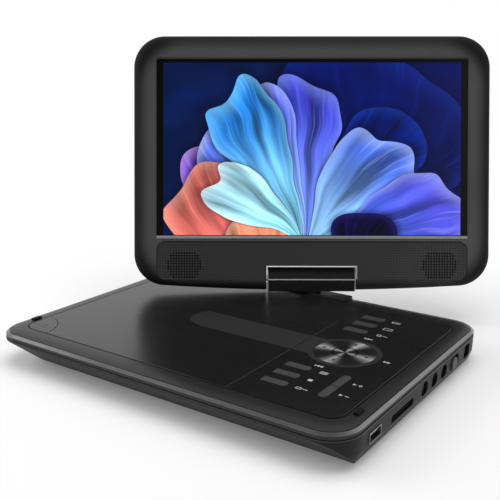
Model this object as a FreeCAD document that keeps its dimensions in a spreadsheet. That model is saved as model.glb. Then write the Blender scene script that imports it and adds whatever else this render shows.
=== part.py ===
"""Portable disc player with a swivelling, tilting screen.

Millimetres. +X is the player's right, where its sockets are, +Y its rear and +Z up.
The origin is the centre of the base's outline, on the surface that the feet stand on.
"""
import FreeCAD, Part
import math
import os

import Sketcher
from FreeCAD import Placement, Rotation, Vector

doc = FreeCAD.newDocument("disc_player")
sheet = doc.addObject("Spreadsheet::Sheet", "Sizes")

SIZES = {
    # base, outside
    "base_width": 260.0,
    "base_depth": 196.0,
    "base_corner": 19.0,
    "deck_height": 23.0,
    "feet_height": 2.0,
    "feet_radius": 6.0,
    "feet_left": -98.0,
    "feet_right": 114.0,
    "feet_depth": 66.0,
    "seam_height": 16.9,
    "seam_gap": 0.2,
    "shell_wall": 1.8,
    "keel_run": 16.5,
    "keel_corner": 10.0,
    "side_break": 8.0,
    "side_draft": 0.4,
    "side_keel": 2.8,
    "skirt_foot": 1.1,
    "skirt_step": 0.5,
    "rim_inset_side": 2.4,
    "rim_inset_end": 2.85,
    "rim_drop": 1.0,
    "crown_reach": 8.0,
    "trim_height": 1.3,
    "trim_gap": 0.45,
    "trim_fit": 0.02,
    "trim_rebate": 0.7,
    "bumper_x": 122.3,
    "bumper_y": -68.5,
    # deck
    "deck_width": 236.0,
    "deck_depth": 162.4,
    "deck_shift": -1.7,
    "deck_corner": 8.5,
    "deck_plate": 2.0,
    "deck_step": 0.2,
    "deck_groove": 0.8,
    "deck_edge": 0.22,
    "deck_floor": 1.8,
    "panel_seam": 49.4,
    "panel_split": 0.3,
    "inlay_depth": 0.4,
    "inlay_proud": 0.05,
    "stripe_half": 13.4,
    "stripe_left": -38.5,
    # disc well
    "well_x": -34.0,
    "well_radius": 63.0,
    "well_floor": 13.5,
    "well_wall": 1.5,
    "slot_half": 17.0,
    "slot_front": -63.4,
    "slot_rear": 14.5,
    # keys
    "key_proud": 0.25,
    "key_gap": 0.25,
    "key_lip": 0.6,
    "key_lip_height": 0.7,
    "key_travel": 0.4,
    "key_length": 16.3,
    "rear_key_depth": 6.6,
    "front_key_depth": 5.8,
    "key_column": 67.2,
    "rear_key_first": 62.3,
    "rear_key_pitch": 13.3,
    "front_key_first": -36.2,
    "front_key_pitch": 12.6,
    "volume_column": 97.6,
    "volume_middle": -48.2,
    "volume_width": 5.4,
    "volume_length": 15.6,
    "volume_split": 0.7,
    "dial_x": 79.3,
    "dial_y": -2.3,
    "dial_ring": 22.5,
    "pad_radius": 19.0,
    "centre_key": 7.0,
    "open_radius": 22.3,
    "open_travel": 0.8,
    "key_board_left": 57.0,
    "key_board_right": 106.0,
    "key_board_reach": 69.0,
    # door hinge
    "door_axis_back": 2.2,
    "door_axis_drop": 3.6,
    "door_pin": 1.2,
    "running_gap": 0.05,
    "lug_width": 6.0,
    "lug_left": -96.0,
    "lug_right": 20.0,
    "ear_width": 3.5,
    # swivel and tilt
    "swivel_y": 91.5,
    "axis_rise": 10.7,
    "turn_angle": 34.5,
    "lean_angle": 13.6,
    "pedestal_half": 33.0,
    "pedestal_front": 84.2,
    "pedestal_rise": 0.8,
    "post_radius": 4.0,
    "foot_radius": 8.0,
    "cover_radius": 8.2,
    "cover_half_depth": 8.0,
    "cover_half": 32.4,
    "cover_wall": 1.6,
    "end_trim": 0.5,
    "tilt_shaft": 2.5,
    # screen
    "screen_width": 267.0,
    "screen_top": 181.6,
    "screen_bottom": 9.1,
    "screen_corner": 23.5,
    "screen_bow": 1790.0,
    "face_offset": 9.5,
    "back_offset": 8.5,
    "face_round": 7.5,
    "back_round": 7.0,
    "screen_wall": 2.0,
    "screen_skin": 1.8,
    "window_half": 116.0,
    "window_low": 29.4,
    "window_high": 163.4,
    "window_bevel": 1.0,
    "glass_lip": 1.6,
    "glass_sink": 1.8,
    "glass_thick": 3.4,
    "strip_low": -1.4,
    "strip_high": 27.9,
    "strip_corner": 7.0,
    "strip_sink": 0.65,
    "strip_thick": 0.85,
    "notch_half": 33.9,
    "notch_top": 9.4,
    "notch_trim": 0.5,
    "speaker_x": 95.2,
    "speaker_z": 9.8,
    "speaker_radius": 11.5,
    # electronics and loader
    "board_level": 7.0,
    "board_thick": 1.6,
    "board_left": 58.0,
    "board_right": 125.0,
    "jack_height": 11.4,
    "jack_bore": 1.8,
    "jack_first": 0.7,
    "jack_pitch": 15.0,
    "jack_recess": 2.0,
    "jack_mouth": 4.6,
    "usb_y": -64.5,
    "usb_width": 13.4,
    "usb_height": 6.0,
    "card_y": -30.0,
    "card_width": 28.0,
    "switch_y": 48.5,
    "power_y": 70.5,
    "power_bore": 2.75,
    "switch_mouth": 14.6,
    "power_mouth": 9.4,
    "case_setback": 2.5,
    "jack_case_half": 4.5,
    "jack_case_height": 5.6,
    "power_case_height": 6.6,
    "switch_case_half": 8.5,
    "usb_wall": 0.5,
    "tongue_side": 1.2,
    "tongue_low": 2.9,
    "tongue_thick": 1.8,
    "card_height": 3.8,
    "card_wall": 0.7,
    "card_side": 1.2,
    "knob_radius": 3.9,
    "knob_length": 3.0,
    "knob_start": 1.5,
    "chassis_top": 11.8,
    "chassis_thick": 1.5,
    "rod_radius": 1.2,
    "rod_height": 8.6,
    "rod_spread": 10.0,
    "screw_x": 16.5,
    "lens_reach": 24.0,
    "lens_travel": 34.0,
    "chassis_half": 24.0,
    "damper_radius": 3.4,
    "motor_radius": 10.5,
    "motor_height": 5.2,
    "shaft_radius": 1.0,
    "turntable_radius": 13.0,
    "turntable_thick": 1.3,
    "hub_foot": 7.3,
    "hub_tip": 6.4,
    "hub_height": 2.2,
    "carriage_half": 12.8,
    "carriage_depth": 8.0,
    "lens_radius": 2.6,
    "sled_radius": 3.2,
    "sled_length": 14.0,
}


class Measure:
    """A length, with the sheet expression that gives it."""

    def __init__(self, value, text):
        self.value = value
        self.text = text

    def joined(self, sign, other, value):
        return Measure(value, "(%s %s %s)" % (self.text, sign, text_of(other)))

    def __add__(self, other):
        return self.joined("+", other, self.value + value_of(other))

    def __sub__(self, other):
        return self.joined("-", other, self.value - value_of(other))

    def __mul__(self, other):
        return self.joined("*", other, self.value * value_of(other))

    def __truediv__(self, other):
        return self.joined("/", other, self.value / value_of(other))

    def __neg__(self):
        return Measure(-self.value, "(0 - %s)" % self.text)

    def __radd__(self, other):
        return self + other

    def __rmul__(self, other):
        return self * other

    def __rsub__(self, other):
        return -self + other


def value_of(measure):
    return measure.value if isinstance(measure, Measure) else float(measure)


def text_of(measure):
    return measure.text if isinstance(measure, Measure) else "(%r)" % float(measure)


class Sheet:
    """The driving dimensions, read as size.deck_height and so on."""

    def __getattr__(self, alias):
        return Measure(SIZES[alias], "Sizes." + alias)


size = Sheet()
for row, (alias, number) in enumerate(SIZES.items(), 1):
    sheet.set("A%d" % row, alias.replace("_", " "))
    sheet.set("B%d" % row, repr(number))
    sheet.setAlias("B%d" % row, alias)
doc.recompute()

pieces = []
X_AXIS = Rotation(Vector(0, 1, 0), 90)
Y_AXIS = Rotation(Vector(1, 0, 0), -90)
Z_AXIS = Rotation()


def bind(thing, prop, measure):
    thing.setExpression(prop, text_of(measure))


def piece(thing, label):
    """Register a finished piece under the name of its node."""
    thing.Label = label
    pieces.append(thing)
    return thing


# sketches and features of a body

def new_body(label):
    return piece(doc.addObject("PartDesign::Body", label), label)


def new_sketch(body, role="XY_Plane", level=0):
    sketch = body.newObject("Sketcher::SketchObject", body.Name + "_sketch")
    support = [f for f in body.Origin.OriginFeatures if f.Role == role][0]
    sketch.AttachmentSupport = [(support, "")]
    sketch.MapMode = "FlatFace"
    bind(sketch, "AttachmentOffset.Base.z", level)
    return sketch


def fix(sketch, kind, places, measure):
    """Add a dimension that follows an expression."""
    index = sketch.addConstraint(Sketcher.Constraint(kind, *places, value_of(measure)))
    sketch.setExpression("Constraints[%d]" % index, text_of(measure))


def fix_point(sketch, curve, end, x, y):
    fix(sketch, "DistanceX", (-1, 1, curve, end), x)
    fix(sketch, "DistanceY", (-1, 1, curve, end), y)


def add_circle(sketch, x, y, radius):
    middle = Vector(value_of(x), value_of(y), 0)
    curve = sketch.addGeometry(Part.Circle(middle, Vector(0, 0, 1), value_of(radius)))
    fix_point(sketch, curve, 3, x, y)
    fix(sketch, "Radius", (curve,), radius)


def arc_between(start, end, radius):
    """The shorter arc that runs anticlockwise from start to end."""
    chord = end - start
    rise = math.sqrt(radius ** 2 - (chord.Length / 2) ** 2)
    normal = Vector(-chord.y, chord.x, 0).normalize()
    middle = (start + end) * 0.5 + normal * rise
    angles = [math.atan2(p.y - middle.y, p.x - middle.x) for p in (start, end)]
    circle = Part.Circle(middle, Vector(0, 0, 1), radius)
    return Part.ArcOfCircle(circle, angles[0], angles[1])


def add_outline(sketch, corners):
    """A closed outline, anticlockwise. A third value on a corner is the radius of an
    arc that leads to it: positive swells outwards, negative is hollow."""
    points = [Vector(value_of(c[0]), value_of(c[1]), 0) for c in corners]
    curves = []
    for number, corner in enumerate(corners):
        start, end = points[number - 1], points[number]
        if len(corner) == 2:
            curve = sketch.addGeometry(Part.LineSegment(start, end))
            curves.append((curve, 1, 2))
        elif value_of(corner[2]) > 0:
            curve = sketch.addGeometry(arc_between(start, end, value_of(corner[2])))
            fix(sketch, "Radius", (curve,), corner[2])
            curves.append((curve, 1, 2))
        else:
            curve = sketch.addGeometry(arc_between(end, start, -value_of(corner[2])))
            fix(sketch, "Radius", (curve,), -corner[2])
            curves.append((curve, 2, 1))
    for number, corner in enumerate(corners):
        curve, _, end = curves[number]
        after, start, _ = curves[(number + 1) % len(curves)]
        sketch.addConstraint(Sketcher.Constraint("Coincident", curve, end, after, start))
        fix_point(sketch, curve, end, corner[0], corner[1])


def rounded_curves(sketch, left, low, right, high, radius, bow=None):
    """Eight tangent curves, anticlockwise from the lower edge, which may be bowed."""
    up = Vector(0, 0, 1)
    l, b, r, t, c = [value_of(v) for v in (left, low, right, high, radius)]
    if bow is None:
        edge = Part.LineSegment(Vector(l + c, b, 0), Vector(r - c, b, 0))
        tilt, corner_y = 0.0, b + c
    else:
        # the corner arcs touch the bow from inside
        big = value_of(bow)
        reach = (r - l) / 2 - c
        tilt = math.asin(reach / (big - c))
        corner_y = b + big - (big - c) * math.cos(tilt)
        middle = Vector((l + r) / 2, b + big, 0)
        edge = Part.ArcOfCircle(Part.Circle(middle, up, big), -math.pi / 2 - tilt, -math.pi / 2 + tilt)
    quarter = math.pi / 2

    def corner(x, y, first, last):
        return Part.ArcOfCircle(Part.Circle(Vector(x, y, 0), up, c), first, last)

    shapes = [
        edge,
        corner(r - c, corner_y, -quarter + tilt, 0),
        Part.LineSegment(Vector(r, corner_y, 0), Vector(r, t - c, 0)),
        corner(r - c, t - c, 0, quarter),
        Part.LineSegment(Vector(r - c, t, 0), Vector(l + c, t, 0)),
        corner(l + c, t - c, quarter, 2 * quarter),
        Part.LineSegment(Vector(l, t - c, 0), Vector(l, corner_y, 0)),
        corner(l + c, corner_y, 2 * quarter, 3 * quarter - tilt),
    ]
    return [sketch.addGeometry(shape) for shape in shapes]


def add_rounded(sketch, left, low, right, high, radius, bow=None):
    """A rounded rectangle; bow is the radius of a swollen lower edge."""
    curves = rounded_curves(sketch, left, low, right, high, radius, bow)
    for number, curve in enumerate(curves):
        after = curves[(number + 1) % 8]
        sketch.addConstraint(Sketcher.Constraint("Tangent", curve, 2, after, 1))
    upright = (curves[2], curves[6])
    for curve in upright:
        sketch.addConstraint(Sketcher.Constraint("Vertical", curve))
    sketch.addConstraint(Sketcher.Constraint("Horizontal", curves[4]))
    for curve in curves[3::2]:
        sketch.addConstraint(Sketcher.Constraint("Equal", curves[1], curve))
    fix(sketch, "Radius", (curves[1],), radius)
    fix(sketch, "DistanceX", (-1, 1, curves[6], 1), left)
    fix(sketch, "DistanceX", (-1, 1, curves[2], 1), right)
    fix(sketch, "DistanceY", (-1, 1, curves[4], 1), high)
    if bow is None:
        sketch.addConstraint(Sketcher.Constraint("Horizontal", curves[0]))
        fix(sketch, "DistanceY", (-1, 1, curves[0], 1), low)
    else:
        fix(sketch, "Radius", (curves[0],), bow)
        fix_point(sketch, curves[0], 3, (left + right) / 2, low + bow)


def add_box(sketch, left, low, right, high):
    add_outline(sketch, [(left, low), (right, low), (right, high), (left, high)])


def extruded(body, kind, sketch, length, reverse=False, both=False):
    feature = body.newObject("PartDesign::" + kind, body.Name + "_" + kind.lower())
    feature.Profile = sketch
    bind(feature, "Length", length)
    feature.Reversed = reverse
    feature.SideType = "Symmetric" if both else "One side"
    doc.recompute()
    return feature


def pad(body, sketch, length, reverse=False, both=False):
    return extruded(body, "Pad", sketch, length, reverse, both)


def pocket(body, sketch, length, reverse=False, both=False):
    """Cut against the sketch's normal; the volume has to fall."""
    before = body.Shape.Volume
    feature = extruded(body, "Pocket", sketch, length, reverse, both)
    if body.Shape.Volume >= before - 1e-6:
        raise RuntimeError(body.Label + ": a pocket cut nothing")
    return feature


def edges_where(shape, test):
    return ["Edge%d" % n for n, edge in enumerate(shape.Edges, 1) if test(edge.BoundBox)]


def dressed(body, kind, test, measure, second=None):
    """Fillet or chamfer the edges whose boxes pass the test."""
    base = body.Tip
    feature = body.newObject("PartDesign::" + kind, body.Name + "_" + kind.lower())
    feature.Base = (base, edges_where(base.Shape, test))
    if kind == "Fillet":
        bind(feature, "Radius", measure)
    else:
        bind(feature, "Size", measure)
    if second is not None:
        feature.ChamferType = "Two distances"
        bind(feature, "Size2", second)
    doc.recompute()
    return feature


def at_level(z):
    """Edges that lie in one horizontal plane."""
    level = value_of(z)
    return lambda box: abs(box.ZMin - level) < 1e-4 and abs(box.ZMax - level) < 1e-4


# primitives

def primitive(kind, label, place, rotation=Z_AXIS, **sizes):
    shape = doc.addObject("Part::" + kind, label)
    shape.Placement = Placement(Vector(), rotation)
    for prop, measure in sizes.items():
        bind(shape, prop, measure)
    for axis, measure in zip("xyz", place):
        bind(shape, "Placement.Base." + axis, measure)
    return shape


def block(label, low, high):
    span = [Measure(value_of(b) - value_of(a), "(%s - %s)" % (text_of(b), text_of(a)))
            for a, b in zip(low, high)]
    return primitive("Box", label, low, Length=span[0], Width=span[1], Height=span[2])


def cylinder(label, place, radius, length, rotation=Z_AXIS):
    return primitive("Cylinder", label, place, rotation, Radius=radius, Height=length)


def fused(label, parts):
    shape = doc.addObject("Part::MultiFuse", label)
    shape.Shapes = parts
    return shape


def cut(label, base, tools):
    shape = doc.addObject("Part::Cut", label)
    shape.Base = base
    shape.Tool = tools[0] if len(tools) == 1 else fused(label + " tools", tools)
    return shape


def group(label, parts):
    """Separate solids that share one node."""
    shape = doc.addObject("Part::Compound", label)
    shape.Links = parts
    return shape


# levels and edges that several pieces share

deck_top = size.deck_height
rim_top = size.deck_height - size.deck_step
deck_under = size.deck_height - size.deck_plate
recess_floor = deck_under - size.deck_step
floor_under = recess_floor - size.deck_floor
rim_edge = rim_top - size.rim_drop + 0.1
bumper_low = rim_edge - 0.3
trim_low = rim_top - size.rim_drop - size.trim_height
trim_high = rim_top - size.rim_drop
upper_low = size.seam_height + size.seam_gap
floor_inside = size.feet_height + size.shell_wall
well_under = size.well_floor - size.well_wall
half_width = size.base_width / 2
half_depth = size.base_depth / 2
rim_x = half_width - size.rim_inset_side
rim_y = half_depth - size.rim_inset_end
rim_corner = size.base_corner - size.rim_inset_side
deck_x = size.deck_width / 2
deck_front = size.deck_shift - size.deck_depth / 2
deck_rear = size.deck_shift + size.deck_depth / 2
door_axis_y = deck_rear - size.door_axis_back
door_axis_z = size.deck_height - size.door_axis_drop
axis_z = size.deck_height + size.axis_rise
pedestal_top = size.deck_height + size.pedestal_rise
cap_top = size.deck_height + size.key_proud
lip_top = deck_under - 0.1
lip_low = lip_top - size.key_lip_height
board_top = size.board_level + size.board_thick
chassis_low = size.chassis_top - size.chassis_thick
SCREWS = [(-102, -62), (-102, 62), (8, -72), (8, 72), (50, -72), (50, 72)]
BOARD_SCREWS = [(64, -56), (64, 56), (90, -52), (106, 56)]
SCREW_SHANK = 1.25
BUMPER = (1.6, 3.2)
PIN_INSET = 0.6
SCREW_HEAD = (2.6, 1.2)
BOARD_SCREW = (1.0, 4.0)
BOARD_SCREW_HEAD = (2.2, 1.0)
DOME_RADIUS = 2.2
DOME_SPREAD = 13
SCREEN_SCREW_LEVELS = (22, 85, 150)
SCREEN_SCREW_INSET = 8.5
TRIM_CLEARANCE = 0.3
CROWN = ((0.0, 0.0), (0.15, 0.3), (0.44, 0.72), (1.0, 1.0))
LUGS = (size.lug_left, size.lug_right)


# base shells

def hull_section(body, height, slope, side, corner, left=None):
    """One level of the lower shell: slope is the inset of the front, rear and left."""
    sketch = new_sketch(body, level=height)
    low = -half_width + slope if left is None else left
    add_rounded(sketch, low, -half_depth + slope, half_width - side, half_depth - slope, corner)
    return sketch


def loft(body, kind, sections, ruled=False):
    feature = body.newObject("PartDesign::" + kind, body.Name + "_loft")
    feature.Profile = sections[0]
    feature.Sections = sections[1:]
    feature.Ruled = ruled
    doc.recompute()


def wall_window(body, y, z, width, height, corner):
    """An opening through the right-hand wall."""
    sketch = new_sketch(body, "YZ_Plane", half_width + 1)
    add_rounded(sketch, y - width / 2, z - height / 2, y + width / 2, z + height / 2, corner)
    pocket(body, sketch, 6)


def make_lower_housing():
    body = new_body("lower_housing")
    corner, wall = size.base_corner, size.shell_wall
    # the right-hand side is nearly upright
    upright = ((size.seam_height, 0.0, corner), (size.side_break, size.side_draft, corner - 0.5),
               (size.feet_height, size.side_keel, corner - 5))
    loft(body, "AdditiveLoft", [hull_section(body, height, side, side, turn, half_width / 3)
                                for height, side, turn in upright], ruled=True)
    # the underside slopes up to the seam along the front and rear
    for side in (-1, 1):
        sketch = new_sketch(body, "YZ_Plane")
        edge, tip = half_depth * side, (half_depth - size.keel_run) * side
        outside = edge + 3 * side
        slope = [(edge, size.seam_height), (outside, size.seam_height), (outside, size.feet_height),
                 (tip, size.feet_height)]
        add_outline(sketch, slope if side < 0 else slope[::-1])
        pocket(body, sketch, size.base_width * 2, both=True)
    # and to the left, where it turns round the corners
    bowl = ((size.seam_height, 0.0, 0.0, corner), (size.feet_height, size.keel_run, 5.0, size.keel_corner))
    loft(body, "AdditiveLoft", [hull_section(body, *level) for level in bowl], ruled=True)
    hollow = ((size.seam_height + 0.1, wall + 0.8, wall, corner - 4),
              (size.side_break, size.keel_run * 0.6 + wall + 0.9, wall + 0.4, corner - 7.5),
              (floor_inside, size.keel_run * 0.88 + wall + 0.9, wall + 2.1, size.keel_corner - 2))
    loft(body, "SubtractiveLoft", [hull_section(body, *level) for level in hollow], ruled=True)
    sketch = new_sketch(body, level=size.feet_height + 1)
    for x, y in SCREWS:
        add_circle(sketch, x, y, 4.2)
    pad(body, sketch, 3.2)
    sketch = new_sketch(body, level=size.feet_height + 1)
    for x, y in BOARD_SCREWS:
        add_circle(sketch, x, y, 3.0)
    pad(body, sketch, size.board_level - size.feet_height - 1)
    sketch = new_sketch(body, level=size.feet_height)
    for x, y in SCREWS:
        add_circle(sketch, x, y, 2.8)
    pocket(body, sketch, 2.2, reverse=True)
    sketch = new_sketch(body, level=size.feet_height)
    for x, y in SCREWS:
        add_circle(sketch, x, y, 1.6)
    pocket(body, sketch, 6, reverse=True)
    sketch = new_sketch(body, level=size.board_level)
    for x, y in BOARD_SCREWS:
        add_circle(sketch, x, y, 1.0)
    pocket(body, sketch, 3)
    sketch = new_sketch(body, level=size.seam_height + 1)
    add_circle(sketch, 0, size.swivel_y, size.post_radius + 1.8)
    pocket(body, sketch, 3.6)
    gap = 2 * size.key_gap
    usb_z = board_top + size.usb_height / 2
    wall_window(body, size.usb_y, usb_z, size.usb_width + gap, size.usb_height + gap, 0.6)
    wall_window(body, size.card_y, board_top + 1.9, size.card_width + gap, 3.8 + gap, 0.8)
    sketch = new_sketch(body, "YZ_Plane", half_width + 1)
    for number in range(3):
        add_circle(sketch, size.jack_first + size.jack_pitch * number, size.jack_height, size.jack_mouth)
    pocket(body, sketch, 6)
    wall_window(body, size.switch_y, size.jack_height, size.switch_mouth, size.power_mouth, 4.4)
    wall_window(body, size.power_y, size.jack_height, size.power_mouth, size.power_mouth, 2.0)


def door_reach(x):
    """The pocket and the two ears that hold one hinge lug of the door."""
    slot = size.lug_width / 2 + 0.3
    return x - slot, x + slot


def make_upper_housing():
    body = new_body("upper_housing")
    step = size.skirt_step
    sketch = new_sketch(body, level=upper_low)
    add_rounded(sketch, -half_width, -half_depth, half_width, half_depth, size.base_corner)
    pad(body, sketch, size.skirt_foot)
    sketch = new_sketch(body, level=upper_low)
    add_rounded(sketch, -half_width + step, -half_depth + step, half_width - step, half_depth - step,
                size.base_corner - step)
    pad(body, sketch, trim_low - upper_low)
    sketch = new_sketch(body, level=upper_low)
    add_rounded(sketch, -rim_x, -rim_y, rim_x, rim_y, rim_corner)
    pad(body, sketch, rim_edge - upper_low)
    # the border swells from the bright band to the deck
    crown = []
    for share, rise in CROWN:
        inset = size.crown_reach * share
        sketch = new_sketch(body, level=rim_edge + (rim_top - rim_edge) * rise)
        add_rounded(sketch, -rim_x + inset, -rim_y + inset, rim_x - inset, rim_y - inset,
                    rim_corner - inset)
        crown.append(sketch)
    loft(body, "AdditiveLoft", crown)
    sketch = new_sketch(body, level=bumper_low)
    for side in (-1, 1):
        x = size.bumper_x * side
        add_box(sketch, x - BUMPER[0], size.bumper_y - BUMPER[1], x + BUMPER[0], size.bumper_y + BUMPER[1])
    pocket(body, sketch, 3, reverse=True)
    groove = size.deck_groove
    sketch = new_sketch(body, level=rim_top)
    add_rounded(sketch, -deck_x - groove, deck_front - groove, deck_x + groove, deck_rear + groove,
                size.deck_corner + groove)
    pocket(body, sketch, rim_top - recess_floor)
    inner = size.shell_wall + size.rim_inset_end
    sketch = new_sketch(body, level=upper_low)
    add_rounded(sketch, -half_width + inner, -half_depth + inner, half_width - inner,
                half_depth - inner, size.base_corner - inner)
    pocket(body, sketch, floor_under - upper_low, reverse=True)
    # the round tub that the disc lies in
    sketch = new_sketch(body, level=well_under)
    add_circle(sketch, size.well_x, size.deck_shift, size.well_radius + size.well_wall)
    pad(body, sketch, recess_floor - well_under)
    # posts for the case screws
    sketch = new_sketch(body, level=size.feet_height + 4.4)
    for x, y in SCREWS:
        add_circle(sketch, x, y, 3.4)
    pad(body, sketch, recess_floor - size.feet_height - 4.4)
    # blocks that carry the door's hinge pins
    ear_low = door_axis_z - 2.2
    sketch = new_sketch(body, level=ear_low)
    for x in LUGS:
        left, right = door_reach(x)
        add_box(sketch, left - size.ear_width, door_axis_y - 3, right + size.ear_width, door_axis_y + 2.6)
    pad(body, sketch, recess_floor - ear_low)
    sketch = new_sketch(body, level=recess_floor)
    add_circle(sketch, size.well_x, size.deck_shift, size.well_radius)
    pocket(body, sketch, recess_floor - size.well_floor)
    sketch = new_sketch(body, level=size.well_floor)
    add_rounded(sketch, size.well_x - size.slot_half, size.slot_front, size.well_x + size.slot_half,
                size.slot_rear, 6)
    pocket(body, sketch, size.well_wall + 1)
    # window over the key board, under the control panel
    sketch = new_sketch(body, level=recess_floor)
    add_rounded(sketch, size.key_board_left, -size.key_board_reach, size.key_board_right,
                size.key_board_reach, 2)
    pocket(body, sketch, size.deck_floor + 0.5)
    # room under the open button
    sketch = new_sketch(body, level=recess_floor)
    inside = size.deck_groove
    reach = size.open_radius + 0.2
    add_outline(sketch, [(-deck_x - inside, deck_front - inside), (-deck_x + reach, deck_front - inside),
                         (-deck_x - inside, deck_front + reach, reach * 1.05)])
    pocket(body, sketch, size.open_travel + 0.2)
    sketch = new_sketch(body, level=recess_floor)
    for x in LUGS:
        left, right = door_reach(x)
        add_box(sketch, left, door_axis_y - 2.4, right, door_axis_y + 2.4)
    pocket(body, sketch, recess_floor - ear_low + 1)
    sketch = new_sketch(body, "YZ_Plane", size.lug_left - size.lug_width)
    add_circle(sketch, door_axis_y, door_axis_z, size.door_pin)
    pocket(body, sketch, size.lug_right - size.lug_left + size.lug_width * 2, reverse=True)
    sketch = new_sketch(body, level=size.feet_height + 4.4)
    for x, y in SCREWS:
        add_circle(sketch, x, y, SCREW_SHANK)
    pocket(body, sketch, 9, reverse=True)
    # notch for the hinge pedestal
    sketch = new_sketch(body, level=rim_top + 1)
    side = size.pedestal_half + 0.1
    add_box(sketch, -side, size.pedestal_front - 0.1, side, half_depth + 2)
    pocket(body, sketch, rim_top + 1 - upper_low + 1)


def make_trim_band():
    """The bright band that runs round the rim, parted at the pedestal."""
    body = new_body("trim_band")
    low = new_sketch(body, level=trim_low + 0.02)
    edge = 0.1
    add_rounded(low, -half_width + edge, -half_depth + edge, half_width - edge, half_depth - edge,
                size.base_corner - edge)
    high = new_sketch(body, level=trim_high)
    top = size.trim_gap + 0.05
    add_rounded(high, -rim_x - top, -rim_y - top, rim_x + top, rim_y + top, rim_corner + top)
    loft(body, "AdditiveLoft", [low, high])
    for grow, depth in ((size.trim_fit, size.trim_height + 3), (size.trim_gap, size.trim_rebate)):
        sketch = new_sketch(body, level=trim_high)
        add_rounded(sketch, -rim_x - grow, -rim_y - grow, rim_x + grow, rim_y + grow, rim_corner + grow)
        pocket(body, sketch, depth)
    sketch = new_sketch(body, level=trim_high + 1)
    side = size.pedestal_half + 0.1
    add_box(sketch, -side, 0, side, half_depth + 2)
    pocket(body, sketch, size.trim_height + 3)


# deck

def make_disc_door():
    body = new_body("disc_door")
    right = size.panel_seam - size.panel_split / 2
    corner = size.deck_corner
    sketch = new_sketch(body, level=deck_under)
    reach = size.open_radius + size.key_gap
    add_outline(sketch, [
        (-deck_x + reach, deck_front, -reach * 1.05), (right, deck_front), (right, deck_rear),
        (-deck_x + corner, deck_rear), (-deck_x, deck_rear - corner, corner),
        (-deck_x, deck_front + reach)])
    pad(body, sketch, size.deck_plate)
    dressed(body, "Chamfer", at_level(deck_top), size.deck_edge)
    lug_low = door_axis_z - 1.9
    sketch = new_sketch(body, level=lug_low)
    for x in LUGS:
        half = size.lug_width / 2
        add_box(sketch, x - half, door_axis_y - 2.0, x + half, door_axis_y + 2.0)
    pad(body, sketch, deck_under - lug_low)
    sketch = new_sketch(body, "YZ_Plane", size.lug_left - size.lug_width)
    add_circle(sketch, door_axis_y, door_axis_z, size.door_pin + size.running_gap)
    pocket(body, sketch, size.lug_right - size.lug_left + size.lug_width * 2, reverse=True)
    sketch = new_sketch(body, level=deck_top)
    stripe_outline(sketch, right + 1, 0.0)
    pocket(body, sketch, size.inlay_depth)


def stripe_outline(sketch, right, inset):
    """The blunt-ended inlay; its right end is cut at the seam."""
    half = size.stripe_half - inset
    left = size.stripe_left + inset
    middle = size.dial_y
    add_outline(sketch, [
        (right, middle - half), (right, middle + half), (left + 7, middle + half),
        (left, middle + half - 8, 8.5), (left + 1.2, middle - half + 8, 22),
        (left + 18, middle - half, 24)])


def make_door_stripe():
    body = new_body("door_stripe")
    sketch = new_sketch(body, level=deck_top - size.inlay_depth)
    stripe_outline(sketch, size.panel_seam - size.panel_split / 2, 0.05)
    pad(body, sketch, size.inlay_depth + size.inlay_proud)


def dial_outline(sketch, left, inset):
    """The stripe's end on the panel, swelling into the ring round the dial."""
    half = size.stripe_half - inset
    ring = size.dial_ring - inset
    reach = Measure(math.sqrt(ring.value ** 2 - half.value ** 2),
                    "sqrt(%s ^ 2 - %s ^ 2)" % (ring.text, half.text))
    near = size.dial_x - reach
    add_outline(sketch, [
        (left, size.dial_y - half), (near, size.dial_y - half),
        (size.dial_x, size.dial_y - ring, ring), (size.dial_x + ring, size.dial_y, ring),
        (size.dial_x, size.dial_y + ring, ring), (near, size.dial_y + half, ring),
        (left, size.dial_y + half)])


def key_places():
    """Name, centre and depth of the six bar keys, from the rear to the front."""
    names = ("mode", "display", "setup", "menu", "stop", "source")
    for number, name in enumerate(names):
        if number < 3:
            y = size.rear_key_first - size.rear_key_pitch * number
            yield name + "_key", y, size.rear_key_depth
        else:
            y = size.front_key_first - size.front_key_pitch * (number - 3)
            yield name + "_key", y, size.front_key_depth


def key_outline(sketch, y, depth, grow=0.0):
    """A bar with a square left end and a round-cornered right end."""
    half = depth / 2 + grow
    left = size.key_column - size.key_length / 2 - grow
    right = size.key_column + size.key_length / 2 + grow
    turn = half * 0.8
    add_outline(sketch, [
        (left, y - half), (right - turn, y - half), (right, y - half + turn, turn),
        (right, y + half - turn), (right - turn, y + half, turn), (left, y + half)])


def volume_outline(sketch, up, grow=0.0):
    """Half of a pill: up is 1 for the rear half and -1 for the front one."""
    half = size.volume_width / 2 + grow
    near = size.volume_middle + (size.volume_split / 2 - grow) * up
    far = size.volume_middle + (size.volume_split / 2 + size.volume_length + grow) * up
    turn = far - half * up
    x = size.volume_column
    bow = half * 1.001
    if up > 0:
        add_outline(sketch, [(x - half, near), (x + half, near), (x + half, turn), (x, far, bow),
                             (x - half, turn, bow)])
    else:
        add_outline(sketch, [(x + half, near), (x - half, near), (x - half, turn), (x, far, bow),
                             (x + half, turn, bow)])


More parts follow.
